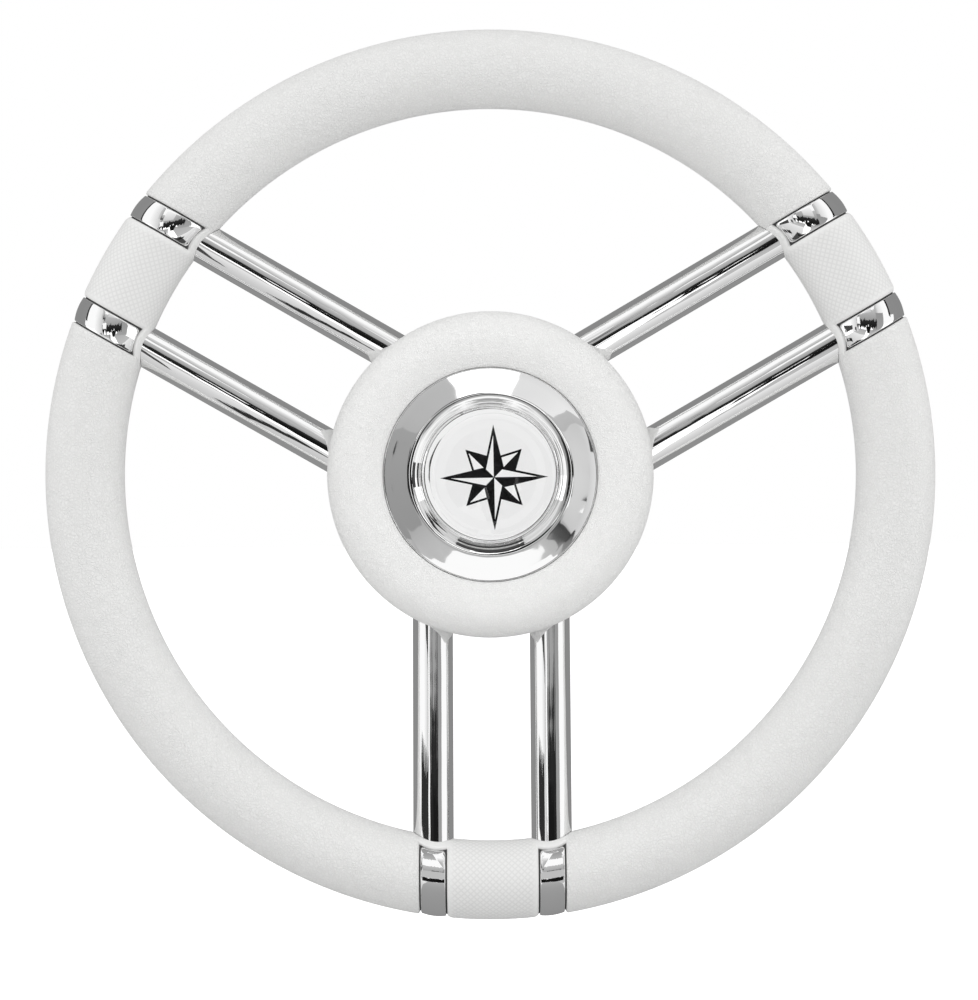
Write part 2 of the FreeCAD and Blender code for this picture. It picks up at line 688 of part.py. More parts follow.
def all_nodes():
    nodes = {
        "rim_cover": grip(),
        "rim_core": core(),
        "hub_pad": hub_pad(),
        "pad_carrier": pad_carrier(),
        "hub_casting": hub_casting(),
        "rear_cover": rear_cover(),
        "centre_cap": centre_cap(),
        "cap_seal": seal_ring(),
        "pad_screws": pad_screws(),
        "cover_screws": cover_screws(),
        "grub_screws": grub_screws(),
    }
    nodes.update(dial())
    for place, angle in zip(PAIRS, SPOKE_ANGLES):
        for name, side in SIDES[place].items():
            nodes["spoke_" + place + "_" + name] = turned_round(spoke(side), angle)
            nodes["band_" + place + "_" + name] = turned_round(trim_band(side), angle)
    return nodes


os.makedirs("parts", exist_ok=True)
for node, shape in all_nodes().items():
    print(node, len(shape.Solids), round(shape.Volume, 1), shape.isValid())
    shape.exportStep("parts/" + node + ".step")
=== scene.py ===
# %% [markdown]
# A boat's steering wheel, seen straight from the driver's side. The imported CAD
# part comes first, as a fixed frame in metres: Blender then dresses it. Every new
# piece below is drawn in millimetres, in the same frame, and scaled once at the
# end, so it lands where the CAD says without any fitting.

# %% Load the frame
import math

import bmesh
import bpy
from mathutils import Matrix, Vector, noise


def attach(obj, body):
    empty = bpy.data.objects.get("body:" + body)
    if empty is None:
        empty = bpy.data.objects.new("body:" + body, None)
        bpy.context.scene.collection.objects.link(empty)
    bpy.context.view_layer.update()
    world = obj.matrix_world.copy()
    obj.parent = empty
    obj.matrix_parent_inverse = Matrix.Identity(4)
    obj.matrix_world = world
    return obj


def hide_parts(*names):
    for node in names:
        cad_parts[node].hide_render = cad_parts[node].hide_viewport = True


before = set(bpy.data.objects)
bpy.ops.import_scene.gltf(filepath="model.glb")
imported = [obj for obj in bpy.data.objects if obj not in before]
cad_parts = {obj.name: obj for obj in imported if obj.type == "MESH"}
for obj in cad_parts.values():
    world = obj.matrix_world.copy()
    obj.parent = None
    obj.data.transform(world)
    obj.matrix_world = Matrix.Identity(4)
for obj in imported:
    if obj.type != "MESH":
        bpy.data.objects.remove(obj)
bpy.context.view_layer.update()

# %% [markdown]
# The wheel's main sizes, as a drawing would list them. Depths are counted from
# the rim's middle plane towards the rear, because that is how a maker would
# measure a dished wheel.

# %% Main sizes, in millimetres
MM = 0.001
WHEEL_R = 175.0
GRIP_R = 15.5
RIM_R = WHEEL_R - GRIP_R
RIM_Y = -52.0
CORE_R = 9.0
TUBE_R = 8.0
TUBE_WALL = 1.5
HALF = 23.3                  # from a pair's middle line to each tube
SPOKE_SEAT = 30.0
DISH = 18.0
PAIR_ANGLES = (30.0, 150.0, 270.0)
CORE_STATION = math.sqrt(RIM_R ** 2 - HALF ** 2)
LEAN = DISH / (CORE_STATION - SPOKE_SEAT)
SPOKES = {
    "right_upper": (30.0, 1), "right_lower": (30.0, -1),
    "left_upper": (150.0, -1), "left_lower": (150.0, 1),
    "bottom_right": (270.0, 1), "bottom_left": (270.0, -1),
}
print("tubes lean back by", round(math.degrees(math.atan(LEAN)), 2), "degrees")

# %% [markdown]
# Colours are written as sRGB hex, as a paint chart gives them, and one function
# turns them to the linear values that the shaders work in. One more small
# function adds a node with its settings and links, whatever its kind.

# %% Colours and nodes
def linear(hex_colour):
    values = [int(hex_colour[at:at + 2], 16) / 255 for at in (1, 3, 5)]
    return [v / 12.92 if v <= 0.04045 else ((v + 0.055) / 1.055) ** 2.4 for v in values] + [1.0]


def shadow_of(hex_colour):
    """The same colour as painted shade, where less light reaches, in a crease or between two
    grains.
    """
    return [value * 0.86 for value in linear(hex_colour)[:3]] + [1.0]


def add_node(tree, kind, inputs=None, **settings):
    node = tree.nodes.new("ShaderNode" + kind)
    for name, value in settings.items():
        setattr(node, name, value)
    for name, value in (inputs or {}).items():
        socket = node.inputs[name]
        if isinstance(value, bpy.types.NodeSocket):
            tree.links.new(value, socket)
        else:
            socket.default_value = value
    return node


def new_material(name, **constants):
    """A material whose shader has those constants, and its surface's place in millimetres."""
    material = bpy.data.materials.new(name)
    material.use_nodes = True
    tree = material.node_tree
    shader = next(node for node in tree.nodes if node.type == "BSDF_PRINCIPLED")
    for name, value in constants.items():
        shader.inputs[name.replace("_", " ")].default_value = value
    place = add_node(tree, "TexCoord").outputs["Object"]
    in_mm = add_node(tree, "VectorMath", {0: place, 3: 1 / MM}, operation="SCALE").outputs[0]
    return material, tree, shader, in_mm


print("white plastic in linear values:", [round(v, 3) for v in linear("#E8E8E8")])

# %% [markdown]
# The grip and the pad are moulded polyurethane, a slightly soft plastic that
# takes the texture of its mould. The long grips copy a fine leather: closed
# cells about 1.3 mm wide, with fine pores, drawn out by a slower wrinkle. The
# cells come from a Voronoi pattern bent by noise, since real ones are never
# straight.

# %% Leather grain
GRAIN_BEND = 2.2


def leather_grain(tree, in_mm, cell):
    """The height of the cells with their pores, without and with the slower wrinkle."""
    bend = add_node(tree, "TexNoise", {"Vector": in_mm, "Scale": 0.35 / cell, "Detail": 2.0})
    offset = add_node(tree, "VectorMath", {0: bend.outputs["Color"], 3: GRAIN_BEND * cell},
                      operation="SCALE")
    bent = add_node(tree, "VectorMath", {0: in_mm, 1: offset.outputs[0]}, operation="ADD")
    cells = add_node(tree, "TexVoronoi", {"Vector": bent.outputs[0], "Scale": 1 / cell},
                     feature="DISTANCE_TO_EDGE")
    crease = add_node(tree, "MapRange", {"Value": cells.outputs["Distance"], "From Max": 0.22},
                      interpolation_type="SMOOTHSTEP")
    pores = add_node(tree, "TexNoise", {"Vector": in_mm, "Scale": 2.2 / cell, "Detail": 3.0})
    height = add_node(tree, "Math", {0: pores.outputs["Fac"], 1: 0.35, 2: crease.outputs["Result"]},
                      operation="MULTIPLY_ADD").outputs[0]
    wrinkle = add_node(tree, "TexNoise", {"Vector": in_mm, "Scale": 0.3 / cell, "Detail": 1.0})
    relief = add_node(tree, "Math", {0: wrinkle.outputs["Fac"], 1: 2.5, 2: height},
                      operation="MULTIPLY_ADD").outputs[0]
    return height, relief


print("grain ready: noise moves a cell by up to", GRAIN_BEND, "of its widths")

# %% [markdown]
# The knurl between the twin spokes is real geometry, made further down. Less of
# the sky reaches into its grooves, so their colour is painted a little darker, a
# painted shade. The grip's mesh carries two counts that grow by one from groove to
# groove, along the two diagonals, and a third attribute that says where the knurl is.

# %% Shade in the knurl
SHADE_REACH = 0.3            # share of the way to the next groove


def knurl_shade(tree):
    """How much painted shade the grooves of both diagonals get, and 0 on the diamonds and off the
    knurl.
    """
    knurled = add_node(tree, "Attribute", attribute_name="knurled").outputs["Fac"]
    shade = 0.0
    for way in ("knurl_rising", "knurl_falling"):
        along = add_node(tree, "Attribute", attribute_name=way).outputs["Fac"]
        beside = add_node(tree, "Math", {0: along, 1: 0.5}, operation="PINGPONG").outputs[0]
        groove = add_node(tree, "MapRange", {"Value": beside, "From Max": SHADE_REACH,
                                             "To Min": 0.62, "To Max": 0.0},
                          interpolation_type="SMOOTHSTEP")
        dark = add_node(tree, "Math", {0: groove.outputs["Result"], 1: knurled},
                        operation="MULTIPLY")
        shade = add_node(tree, "Math", {0: shade, 1: dark.outputs[0]},
                         operation="MAXIMUM").outputs[0]
    return shade


print("the grooves' shade covers", SHADE_REACH, "of the way to the next groove")

# %% [markdown]
# The plastic itself is a soft white in two close tones, and its gloss wanders
# with them. The grain's relief only moves the light by a few levels, because the
# real one is a tenth of a millimetre deep, so the grain's creases are also painted
# a little darker: painted shade. On the grip the mesh says where each texture is,
# and where a band's bed is: the bed is painted dark grey, a painted shade that
# stands in for the shadow in the deep gap beside a band.

# %% Moulded polyurethane
def moulded_polyurethane(name, colour, other, cell, deep, is_grip=False):
    material, tree, shader, in_mm = new_material(name, Roughness=0.5, IOR=1.49)
    height, relief = leather_grain(tree, in_mm, cell)
    sunk = add_node(tree, "MapRange", {"Value": height, "From Max": 1.35, "To Min": 0.42,
                                       "To Max": 0.0})
    shaded = sunk.outputs["Result"]
    if is_grip:
        mask = add_node(tree, "Attribute", attribute_name="grained").outputs["Fac"]
        relief = add_node(tree, "Math", {0: relief, 1: mask}, operation="MULTIPLY").outputs[0]
        shaded = add_node(tree, "Math", {0: shaded, 1: mask}, operation="MULTIPLY").outputs[0]
        shaded = add_node(tree, "Math", {0: shaded, 1: knurl_shade(tree)},
                          operation="MAXIMUM").outputs[0]
    bump = add_node(tree, "Bump", {"Height": relief, "Distance": deep * MM})
    tree.links.new(bump.outputs["Normal"], shader.inputs["Normal"])
    cloud = add_node(tree, "TexNoise", {"Vector": in_mm, "Scale": 0.03, "Detail": 3.0})
    tone = add_node(tree, "Mix", {"Factor": cloud.outputs["Fac"], "A": linear(colour),
                                  "B": linear(other)}, data_type="RGBA")
    tone = add_node(tree, "Mix", {"Factor": shaded, "A": tone.outputs["Result"],
                                  "B": shadow_of(colour)}, data_type="RGBA")
    # painted shade: the band's bed is mixed towards dark grey, for the shadow in the gap beside a
    # band
    if is_grip:
        bed = add_node(tree, "Attribute", attribute_name="painted_gap_shade").outputs["Fac"]
        tone = add_node(tree, "Mix", {"Factor": bed, "A": tone.outputs["Result"],
                                      "B": linear("#3C3C3C")}, data_type="RGBA")
    tree.links.new(tone.outputs["Result"], shader.inputs["Base Color"])
    rough = add_node(tree, "MapRange", {"Value": cloud.outputs["Fac"], "To Min": 0.44,
                                        "To Max": 0.56})
    tree.links.new(rough.outputs["Result"], shader.inputs["Roughness"])
    return material


grip_skin = moulded_polyurethane("grip_moulded_polyurethane", "#E6E6E5", "#ECECEB", 1.3, 0.10,
                                 is_grip=True)
pad_skin = moulded_polyurethane("pad_moulded_polyurethane", "#F1F1F0", "#F6F6F5", 0.9, 0.09)
cover_skin = moulded_polyurethane("cover_moulded_polyurethane", "#E6E6E5", "#ECECEB", 0.9, 0.05)
print("grain cells of 1.3 mm on the grips and 0.9 mm on the hub")

# %% [markdown]
# The tubes, bands and cap are stainless steel, polished on a cloth wheel to a
# mirror. What the eye sees is almost only the room: so the metal itself is very
# plain, with a slow waviness that a hand-held polish leaves and that makes the
# edges of reflections wander, and a faint haze that changes over centimetres.

# %% Mirror-polished stainless steel
def polished_stainless(name, wave, deep):
    material, tree, shader, in_mm = new_material(name, Metallic=1.0)
    shader.inputs["Base Color"].default_value = linear("#FBFBFB")
    ripple = add_node(tree, "TexNoise", {"Vector": in_mm, "Scale": 1 / wave, "Detail": 0.6})
    bump = add_node(tree, "Bump", {"Height": ripple.outputs["Fac"], "Distance": deep * MM})
    tree.links.new(bump.outputs["Normal"], shader.inputs["Normal"])
    haze = add_node(tree, "TexNoise", {"Vector": in_mm, "Scale": 0.05, "Detail": 4.0})
    rough = add_node(tree, "MapRange", {"Value": haze.outputs["Fac"], "To Min": 0.02,
                                        "To Max": 0.06})
    tree.links.new(rough.outputs["Result"], shader.inputs["Roughness"])
    return material


tube_steel = polished_stainless("tube_polished_stainless", 15.0, 0.22)
band_steel = polished_stainless("band_polished_stainless", 7.0, 0.12)
cap_steel = polished_stainless("cap_polished_stainless", 11.0, 0.14)
print("polish ripples of 15, 7 and 11 mm")

# %% [markdown]
# Behind the wheel the other metals show: the hub is cast aluminium, grey and
# slightly grainy from its sand, and the screws and the steel ring are plain
# stainless with the brushed look of drawn or turned stock.

# %% Castings, screws, rubber and nylon
def grainy(name, colour, grain, deep, **constants):
    material, tree, shader, in_mm = new_material(name, **constants)
    grit = add_node(tree, "TexNoise", {"Vector": in_mm, "Scale": 1 / grain, "Detail": 4.0})
    bump = add_node(tree, "Bump", {"Height": grit.outputs["Fac"], "Distance": deep * MM})
    tree.links.new(bump.outputs["Normal"], shader.inputs["Normal"])
    # painted shade: where the grit is low, in its pits, the colour is mixed towards a darker tone
    shade = add_node(tree, "Mix", {"Factor": grit.outputs["Fac"], "A": shadow_of(colour),
                                   "B": linear(colour)}, data_type="RGBA")
    tree.links.new(shade.outputs["Result"], shader.inputs["Base Color"])
    return material


cast_aluminium = grainy("sand_cast_aluminium", "#C3C4C6", 0.8, 0.06, Metallic=1.0, Roughness=0.45)
drawn_steel = grainy("drawn_steel", "#B9B9B8", 1.5, 0.01, Metallic=1.0, Roughness=0.35)
screw_steel = grainy("turned_stainless", "#C8C8C6", 0.7, 0.01, Metallic=1.0, Roughness=0.25)
nylon = grainy("glass_filled_nylon", "#3A3A3C", 0.6, 0.02, Roughness=0.55, IOR=1.53)
seal_rubber = grainy("nitrile_rubber", "#262626", 0.5, 0.02, Roughness=0.7, IOR=1.52)
print("five plain finishes for the parts inside and behind")

# %% [markdown]
# The label is printed vinyl, white with a light grey ground and a dark rose. A
# print is never quite flat in tone, so each ink has a faint cloud in it, a few
# millimetres across. The resin over it has nearly its own index, so the print
# itself hardly shines.

# %% Printed vinyl
def ink(name, colour, other):
    material, tree, shader, in_mm = new_material(name, Roughness=0.5, IOR=1.5,
                                                 Specular_IOR_Level=0.05)
    cloud = add_node(tree, "TexNoise", {"Vector": in_mm, "Scale": 0.25, "Detail": 5.0})
    shade = add_node(tree, "Mix", {"Factor": cloud.outputs["Fac"], "A": linear(colour),
                                   "B": linear(other)}, data_type="RGBA")
    tree.links.new(shade.outputs["Result"], shader.inputs["Base Color"])
    return material


label_vinyl = ink("white_vinyl", "#FAFAFA", "#FEFEFE")
ground_ink = ink("light_grey_ink", "#F6F6F6", "#FAFAFA")
dark_ink = ink("near_black_ink", "#101011", "#19191A")
light_ink = ink("white_ink", "#FAFAFA", "#FEFEFE")
print("four inks")

# %% [markdown]
# A clear resin dome is poured over the label: it cures to a smooth lens with
# soft shoulders, and light goes through it to the print. Cycles would treat it
# as something that shades the label, so for the rays that light the print the
# shader is swapped for a clear one, which is what thin clear resin does to
# daylight. The same holds for its underside, which is bonded to the print, so
# there is no second surface to reflect.

# %% Clear resin
RESIN_IOR = 1.47


def clear_resin(name):
    material, tree, shader, in_mm = new_material(name, IOR=RESIN_IOR, Roughness=0.02,
                                                 Specular_IOR_Level=0.2, Transmission_Weight=1.0)
    swell = add_node(tree, "TexNoise", {"Vector": in_mm, "Scale": 0.08, "Detail": 1.0})
    bump = add_node(tree, "Bump", {"Height": swell.outputs["Fac"], "Distance": 0.05 * MM})
    tree.links.new(bump.outputs["Normal"], shader.inputs["Normal"])
    clear = add_node(tree, "BsdfTransparent")
    path = add_node(tree, "LightPath")
    side = add_node(tree, "NewGeometry")
    passes = path.outputs["Is Shadow Ray"]
    for other in (path.outputs["Is Diffuse Ray"], side.outputs["Backfacing"]):
        passes = add_node(tree, "Math", {0: passes, 1: other}, operation="MAXIMUM").outputs[0]
    output = next(node for node in tree.nodes if node.type == "OUTPUT_MATERIAL")
    swap = add_node(tree, "MixShader", {0: passes, 1: shader.outputs[0], 2: clear.outputs[0]})
    tree.links.new(swap.outputs[0], output.inputs["Surface"])
    return material


dome_resin = clear_resin("clear_polyurethane_resin")
print("resin with a refractive index of", RESIN_IOR)

# %% [markdown]
# A finished mesh becomes a piece in one place: it is scaled from millimetres to
# metres, given its finish, shaded smooth with its real edges kept sharp, and
# parented to the root body, and the CAD node it replaces is hidden.
# Holes that cross a finished shape are cut with a Boolean modifier, which is
# applied at once.

# %% From a bmesh to a piece
def closed(bm):
    """Doubles merged and faces turned outwards."""
    bmesh.ops.remove_doubles(bm, verts=bm.verts, dist=0.001)
    bmesh.ops.recalc_face_normals(bm, faces=bm.faces)
    if bm.calc_volume(signed=True) < 0:
        bmesh.ops.reverse_faces(bm, faces=bm.faces)
    return bm


def to_mesh(name, bm):
    mesh = bpy.data.meshes.new(name)
    bm.to_mesh(mesh)
    bm.free()
    return mesh


def make_piece(name, bm, material, replaced, cutter=None, sharp=40.0):
    bmesh.ops.scale(bm, vec=(MM, MM, MM), verts=bm.verts)
    piece = bpy.data.objects.new(name, to_mesh(name, bm))
    bpy.context.scene.collection.objects.link(piece)
    piece.data.materials.append(material)
    if cutter is not None:
        cut_away(piece, cutter)
    piece.data.shade_smooth()
    piece.data.set_sharp_from_angle(angle=math.radians(sharp))
    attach(piece, "root")
    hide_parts(replaced)
    piece.data.calc_loop_triangles()
    print(name, "has", len(piece.data.loop_triangles), "triangles")
    return piece


def cut_away(piece, bm):
    """Cuts the millimetre bmesh out of a piece that is already in metres."""
    bmesh.ops.scale(bm, vec=(MM, MM, MM), verts=bm.verts)
    tool = bpy.data.objects.new("cutter", to_mesh("cutter", bm))
    bpy.context.scene.collection.objects.link(tool)
    boolean = piece.modifiers.new("cut", "BOOLEAN")
    boolean.operation = "DIFFERENCE"
    boolean.solver = "MANIFOLD"
    boolean.object = tool
    graph = bpy.context.evaluated_depsgraph_get()
    mesh = bpy.data.meshes.new_from_object(piece.evaluated_get(graph))
    piece.modifiers.clear()
    piece.data = mesh
    bpy.data.objects.remove(tool)


print("pieces are scaled by", MM)

# %% [markdown]
# The pad, the cap and the dome are round about the shaft's line, so they are made
# as on a lathe: a profile of radius and depth is drawn from lines and true arcs,
# and spun once round. A profile that doesn't start and end on the line is closed
# to a loop first.

# %% The lathe
def arc(centre, radius, start, end, steps=12):
    """Points (radius, depth) of an arc in the turning profile, in degrees."""
    points = []
    for step in range(steps + 1):
        angle = math.radians(start + (end - start) * step / steps)
        points.append((centre[0] + radius * math.cos(angle), centre[1] + radius * math.sin(angle)))
    return points


def lathe(profile, steps=192, is_loop=False):
    """Spins a profile of (radius, depth) points about the shaft's line."""
    bm = bmesh.new()
    verts = [bm.verts.new((radius, RIM_Y + behind, 0.0)) for radius, behind in profile]
    edges = [bm.edges.new(pair) for pair in zip(verts, verts[1:])]
    if is_loop:
        edges.append(bm.edges.new((verts[-1], verts[0])))
    bmesh.ops.spin(bm, geom=verts + edges, cent=(0, 0, 0), axis=(0, 1, 0),
                   angle=math.tau, steps=steps, use_merge=True)
    return closed(bm)


print("lathe ready, 192 steps a turn")

# %% [markdown]
# The spokes come in pairs. A place on a pair is easiest to give as a station
# along the pair's middle line and an offset across it, so two helpers turn that
# into a point and into a matrix that lays a piece on a tube's own line.

# %% Places on the spokes
def spoke_point(pair, side, station):
    angle = math.radians(pair)
    along = Vector((math.cos(angle), 0, math.sin(angle)))
    across = Vector((-math.sin(angle), 0, math.cos(angle)))
    point = along * station + across * (side * HALF)
    point.y = RIM_Y + LEAN * (CORE_STATION - station)
    return point


def on_spoke(pair, side, station):
    """A matrix whose Z runs outwards along the tube, from that station."""
    start = spoke_point(pair, side, station)
    run = spoke_point(pair, side, station + 1.0) - start
    return Matrix.Translation(start) @ run.to_track_quat("Z", "Y").to_matrix().to_4x4()


def bars(radius, first, last, segments=96):
    """Six round bars on the tubes' lines, as one cutter."""
    bm = bmesh.new()
    for pair, side in SPOKES.values():
        length = (spoke_point(pair, side, last) - spoke_point(pair, side, first)).length
        middle = on_spoke(pair, side, (first + last) / 2)
        bmesh.ops.create_cone(bm, cap_ends=True, segments=segments, radius1=radius,
                              radius2=radius, depth=length, matrix=middle)
    return bm


tube_length = (spoke_point(30, 1, CORE_STATION) - spoke_point(30, 1, SPOKE_SEAT)).length
print("a tube is", round(tube_length, 1), "mm long")

# %% [markdown]
# The grip is the piece that the hand and the eye judge first. It is one moulding
# over a steel ring: three long grips with a leather grain, and between the twin
# spokes a short stretch with a diamond knurl. Six polished bands sit in recesses
# beside the spokes, and the moulding rolls down to them, softly from the knurl
# and tightly from the grips. At each tube it keeps a collar, so the recess stops
# short of the tube in an arc.
#
# Subdividing a torus would lose those edges. Instead a torus is spun from a
# circle with just the rows it needs, and each of its points is then moved: first
# round the ring, so that rows lie along the recesses' sides, then round the
# section, so that lines follow the collars' arcs, and last in or out.

# %% Where the grip's rows lie
BAND_HALF = 5.35             # half a recess's width
RECESS_DEPTH = 1.35
COLLAR_R = 11.5
KNURL_STEP = 0.618           # equal to the spacing of the lines round the section
KNURL_ROWS = 26
KNURL_DEPTH = 0.2
KNURL_PROFILE = (1.0, 0.18, 0.0)     # groove, beside it, and the diamond's middle
KNURL_SEAM = 108             # the line behind the grip where the pattern's count starts
SOFT_EDGE = 2.5              # how far the knurled stretch rolls down to a band
GRIP_EDGE = 1.0              # and how far a long grip does
COLLAR_EDGE = 0.8
LINES = 160
LONG_ROWS = 86
FADE_ROWS = 4
recess_near, recess_far = HALF - BAND_HALF, HALF + BAND_HALF

half_rows = [KNURL_STEP * step for step in range(1, KNURL_ROWS + 1)]
half_rows += [recess_near - SOFT_EDGE * share for share in (0.55, 0.35, 0.18, 0.08, 0.02, 0.0)]
half_rows += [recess_near + 2 * BAND_HALF * step / 6 for step in range(1, 6)]
half_rows += [recess_far + GRIP_EDGE * share for share in (0.0, 0.02, 0.08, 0.18, 0.35, 0.6, 1.0)]
pair_rows = [-offset for offset in reversed(half_rows)] + [0.0] + half_rows
last_offset = half_rows[-1]

rows = []                    # (pair angle, offset across it, share of the way to the next pair)
for pair in PAIR_ANGLES:
    rows += [(pair, offset, 0.0) for offset in pair_rows]
    rows += [(pair, last_offset, step / (LONG_ROWS + 1)) for step in range(1, LONG_ROWS + 1)]
print(len(rows), "rows round the ring,", len(pair_rows), "of them at each pair")

# %% [markdown]
# The collar's arc is where a round bar on the tube's line leaves the grip's
# surface. It is found by halving an interval, separately in front and behind,
# because the tube leans and the arc sits further round at the back.

# %% Following the collars' arcs
def from_tube(offset, phi, radius, side):
    """The distance of a point of the grip from the tube's line."""
    reach = RIM_R + radius * math.cos(phi)
    station = math.sqrt(max(reach * reach - offset * offset, 0.0))
    behind = -radius * math.sin(phi)
    off_line = (behind - LEAN * (CORE_STATION - station)) * math.cos(math.atan(LEAN))
    return math.hypot(off_line, offset - side * HALF)


def collar_angle(offset, distance, side, rear, radius=GRIP_R):
    """How far round the section that distance from the tube is met."""
    outside = math.radians(270 if rear else 90)
    inside = math.pi
    for _ in range(30):
        middle = (outside + inside) / 2
        if from_tube(offset, middle, radius, side) > distance:
            outside = middle
        else:
            inside = middle
    return (outside + inside) / 2


front_arc = math.degrees(collar_angle(HALF, COLLAR_R, 1, False))
rear_arc = math.degrees(collar_angle(HALF, COLLAR_R, 1, True))
print("a recess runs from", round(front_arc, 1), "degrees in front to", round(rear_arc, 1),
      "behind")

# %% [markdown]
# Five lines of the section, in front and behind, are held on the collar's edge,
# from its top to the recess's floor, and the other lines share out the way
# between them. Beside the recess the lines ease back to even steps: over the
# soft edge on the knurl's side, and over a few rows on the long grip's.

# %% Lines round the section
FRONT_LINES = {61: 0.0, 62: 0.06, 63: 0.22, 64: 0.52, 65: 1.0}
REAR_LINES = {106: 0.0, 105: 0.06, 104: 0.22, 103: 0.52, 102: 1.0}


def bent_lines(offset, side):
    """The section's angles for a row that crosses a recess."""
    fixed = {0: 0.0, 40: math.pi / 2, 80: math.pi, 120: 3 * math.pi / 2, LINES: math.tau}
    for line, share in FRONT_LINES.items():
        fixed[line] = collar_angle(offset, COLLAR_R - COLLAR_EDGE * share, side, False)
    for line, share in REAR_LINES.items():
        fixed[line] = collar_angle(offset, COLLAR_R - COLLAR_EDGE * share, side, True)
    known = sorted(fixed)
    angles = []
    for low, high in zip(known, known[1:]):
        for line in range(low, high):
            share = (line - low) / (high - low)
            angles.append(fixed[low] + (fixed[high] - fixed[low]) * share)
    return angles


def section_angles(row):
    """The angles of one row's points round the section."""
    pair, offset, share = rows[row]
    even = [math.tau * line / LINES for line in range(LINES)]
    if share == 0.0:
        side = 1 if offset > 0 else -1
        weight = min(1.0, max(0.0, 1.0 - (recess_near - abs(offset)) / SOFT_EDGE))
    else:
        steps = min(share, 1.0 - share) * (LONG_ROWS + 1)
        weight = max(0.0, 1.0 - steps / FADE_ROWS)
        side = 1 if share < 0.5 else -1
        offset = side * last_offset
    if weight == 0.0:
        return even
    bent = bent_lines(offset, side)
    return [weight * b + (1.0 - weight) * e for b, e in zip(bent, even)]


edge_angles = bent_lines(HALF, 1)[min(FRONT_LINES):max(FRONT_LINES) + 1]
print("the front edge's lines lie at", [round(math.degrees(angle), 1) for angle in edge_angles])

# %% [markdown]
# A recess's edge starts level with the grip and rolls over, steeper and steeper,
# down to the floor. How far a point is on that way is measured across the
# recess's side and across the collar's arc together, so the corner between the
# two is round. The knurl's depth is read from a short profile, by how many rows
# and lines a point is from the nearest groove.

# %% How far in each point lies
def recess_drop(offset, phi):
    side = 1 if offset > 0 else -1
    across = abs(offset) - HALF
    edge = SOFT_EDGE if across < 0 else GRIP_EDGE
    beside = max(abs(across) - BAND_HALF, 0.0) / edge
    above = 0.0
    if math.cos(phi) < 0.0:      # the tube meets the grip on its inner side only
        above = max(COLLAR_R - from_tube(offset, phi, GRIP_R, side), 0.0) / COLLAR_EDGE
    share = math.hypot(beside, above)
    if share >= 1.0:
        return 0.0
    return RECESS_DEPTH * (1.0 - math.sqrt(1.0 - (1.0 - share) ** 2))


def knurl_drop(offset, line):
    """Grooves on both diagonals, four lines apart, and flat-sided diamonds between."""
    row = round(offset / KNURL_STEP)
    if abs(row) > KNURL_ROWS or abs(offset - row * KNURL_STEP) > 0.01:
        return 0.0
    first, second = (row + line) % 4, (row - line) % 4
    from_groove = min(first, 4 - first, second, 4 - second)
    return KNURL_DEPTH * KNURL_PROFILE[from_groove] * knurl_fade(offset)


def knurl_fade(offset):
    """The knurl dies out over its last rows before a recess."""
    return min(1.0, max(0.0, (KNURL_ROWS + 2 - abs(offset) / KNURL_STEP) / 4))


print("the recess floor lies", round(recess_drop(HALF, 0.0), 2), "mm under the grip")

# %% [markdown]
# Now the torus is spun, with one step for each row and one segment for each line.
# A point's row and line are read back from its two angles, and it is moved to
# where they say. The attributes that the grip's material reads are set on the
# way.

# %% The grip itself
def ring_point(pair, offset, share, radius, phi):
    reach = RIM_R + radius * math.cos(phi)
    theta = math.radians(pair) + math.asin(offset / reach)
    if share > 0.0:
        following = math.radians(pair + 120.0) - math.asin(offset / reach)
        theta += (following - theta) * share
    return Vector((reach * math.cos(theta), RIM_Y - radius * math.sin(phi),
                   reach * math.sin(theta)))


def spun_ring(radius, lines, steps):
    bm = bmesh.new()
    across = Matrix.Translation((RIM_R, RIM_Y, 0))
    made = bmesh.ops.create_circle(bm, segments=lines, radius=radius, matrix=across)["verts"]
    edges = list(bm.edges)
    bmesh.ops.spin(bm, geom=made + edges, cent=(0, 0, 0), axis=(0, 1, 0), angle=math.tau,
                   steps=steps, use_merge=True)
    return closed(bm)


grip = spun_ring(GRIP_R, LINES, len(rows))
grained = grip.verts.layers.float.new("grained")
painted_gap_shade = grip.verts.layers.float.new("painted_gap_shade")
knurled = grip.verts.layers.float.new("knurled")
rising = grip.verts.layers.float.new("knurl_rising")
falling = grip.verts.layers.float.new("knurl_falling")
angles_of = [section_angles(row) for row in range(len(rows))]
for vert in grip.verts:
    turn = math.atan2(vert.co.z, vert.co.x) % math.tau
    outwards = math.hypot(vert.co.x, vert.co.z) - RIM_R
    round_section = math.atan2(RIM_Y - vert.co.y, outwards) % math.tau
    row = round(turn / math.tau * len(rows)) % len(rows)
    line = round(round_section / math.tau * LINES) % LINES
    pair, offset, share = rows[row]
    phi = angles_of[row][line]
    drop = 0.0
    if share == 0.0:
        drop = recess_drop(offset, phi) + knurl_drop(offset, line)
        from_seam = (line - KNURL_SEAM) % LINES
        vert[knurled] = knurl_fade(offset)
        vert[rising] = (offset / KNURL_STEP + from_seam + KNURL_SEAM) / 4
        vert[falling] = (offset / KNURL_STEP - from_seam - KNURL_SEAM) / 4
    vert[grained] = 1.0 if share > 0.0 or abs(offset) > recess_far else 0.0
    # painted shade: points deep in a recess mark the band's bed, which is painted dark grey for the
    # gap's shadow
    vert[painted_gap_shade] = 1.0 if drop > 0.8 * RECESS_DEPTH else 0.0
    vert.co = ring_point(pair, offset, share, GRIP_R - drop, phi)
print("the grip has", len(grip.verts), "points in", len(rows), "rows")

# %% [markdown]
# Inside, the moulding is hollow where the steel ring runs. The hollow is a
# second, coarser torus with its faces turned inwards, and the tubes' holes are
# then cut from outside into it.

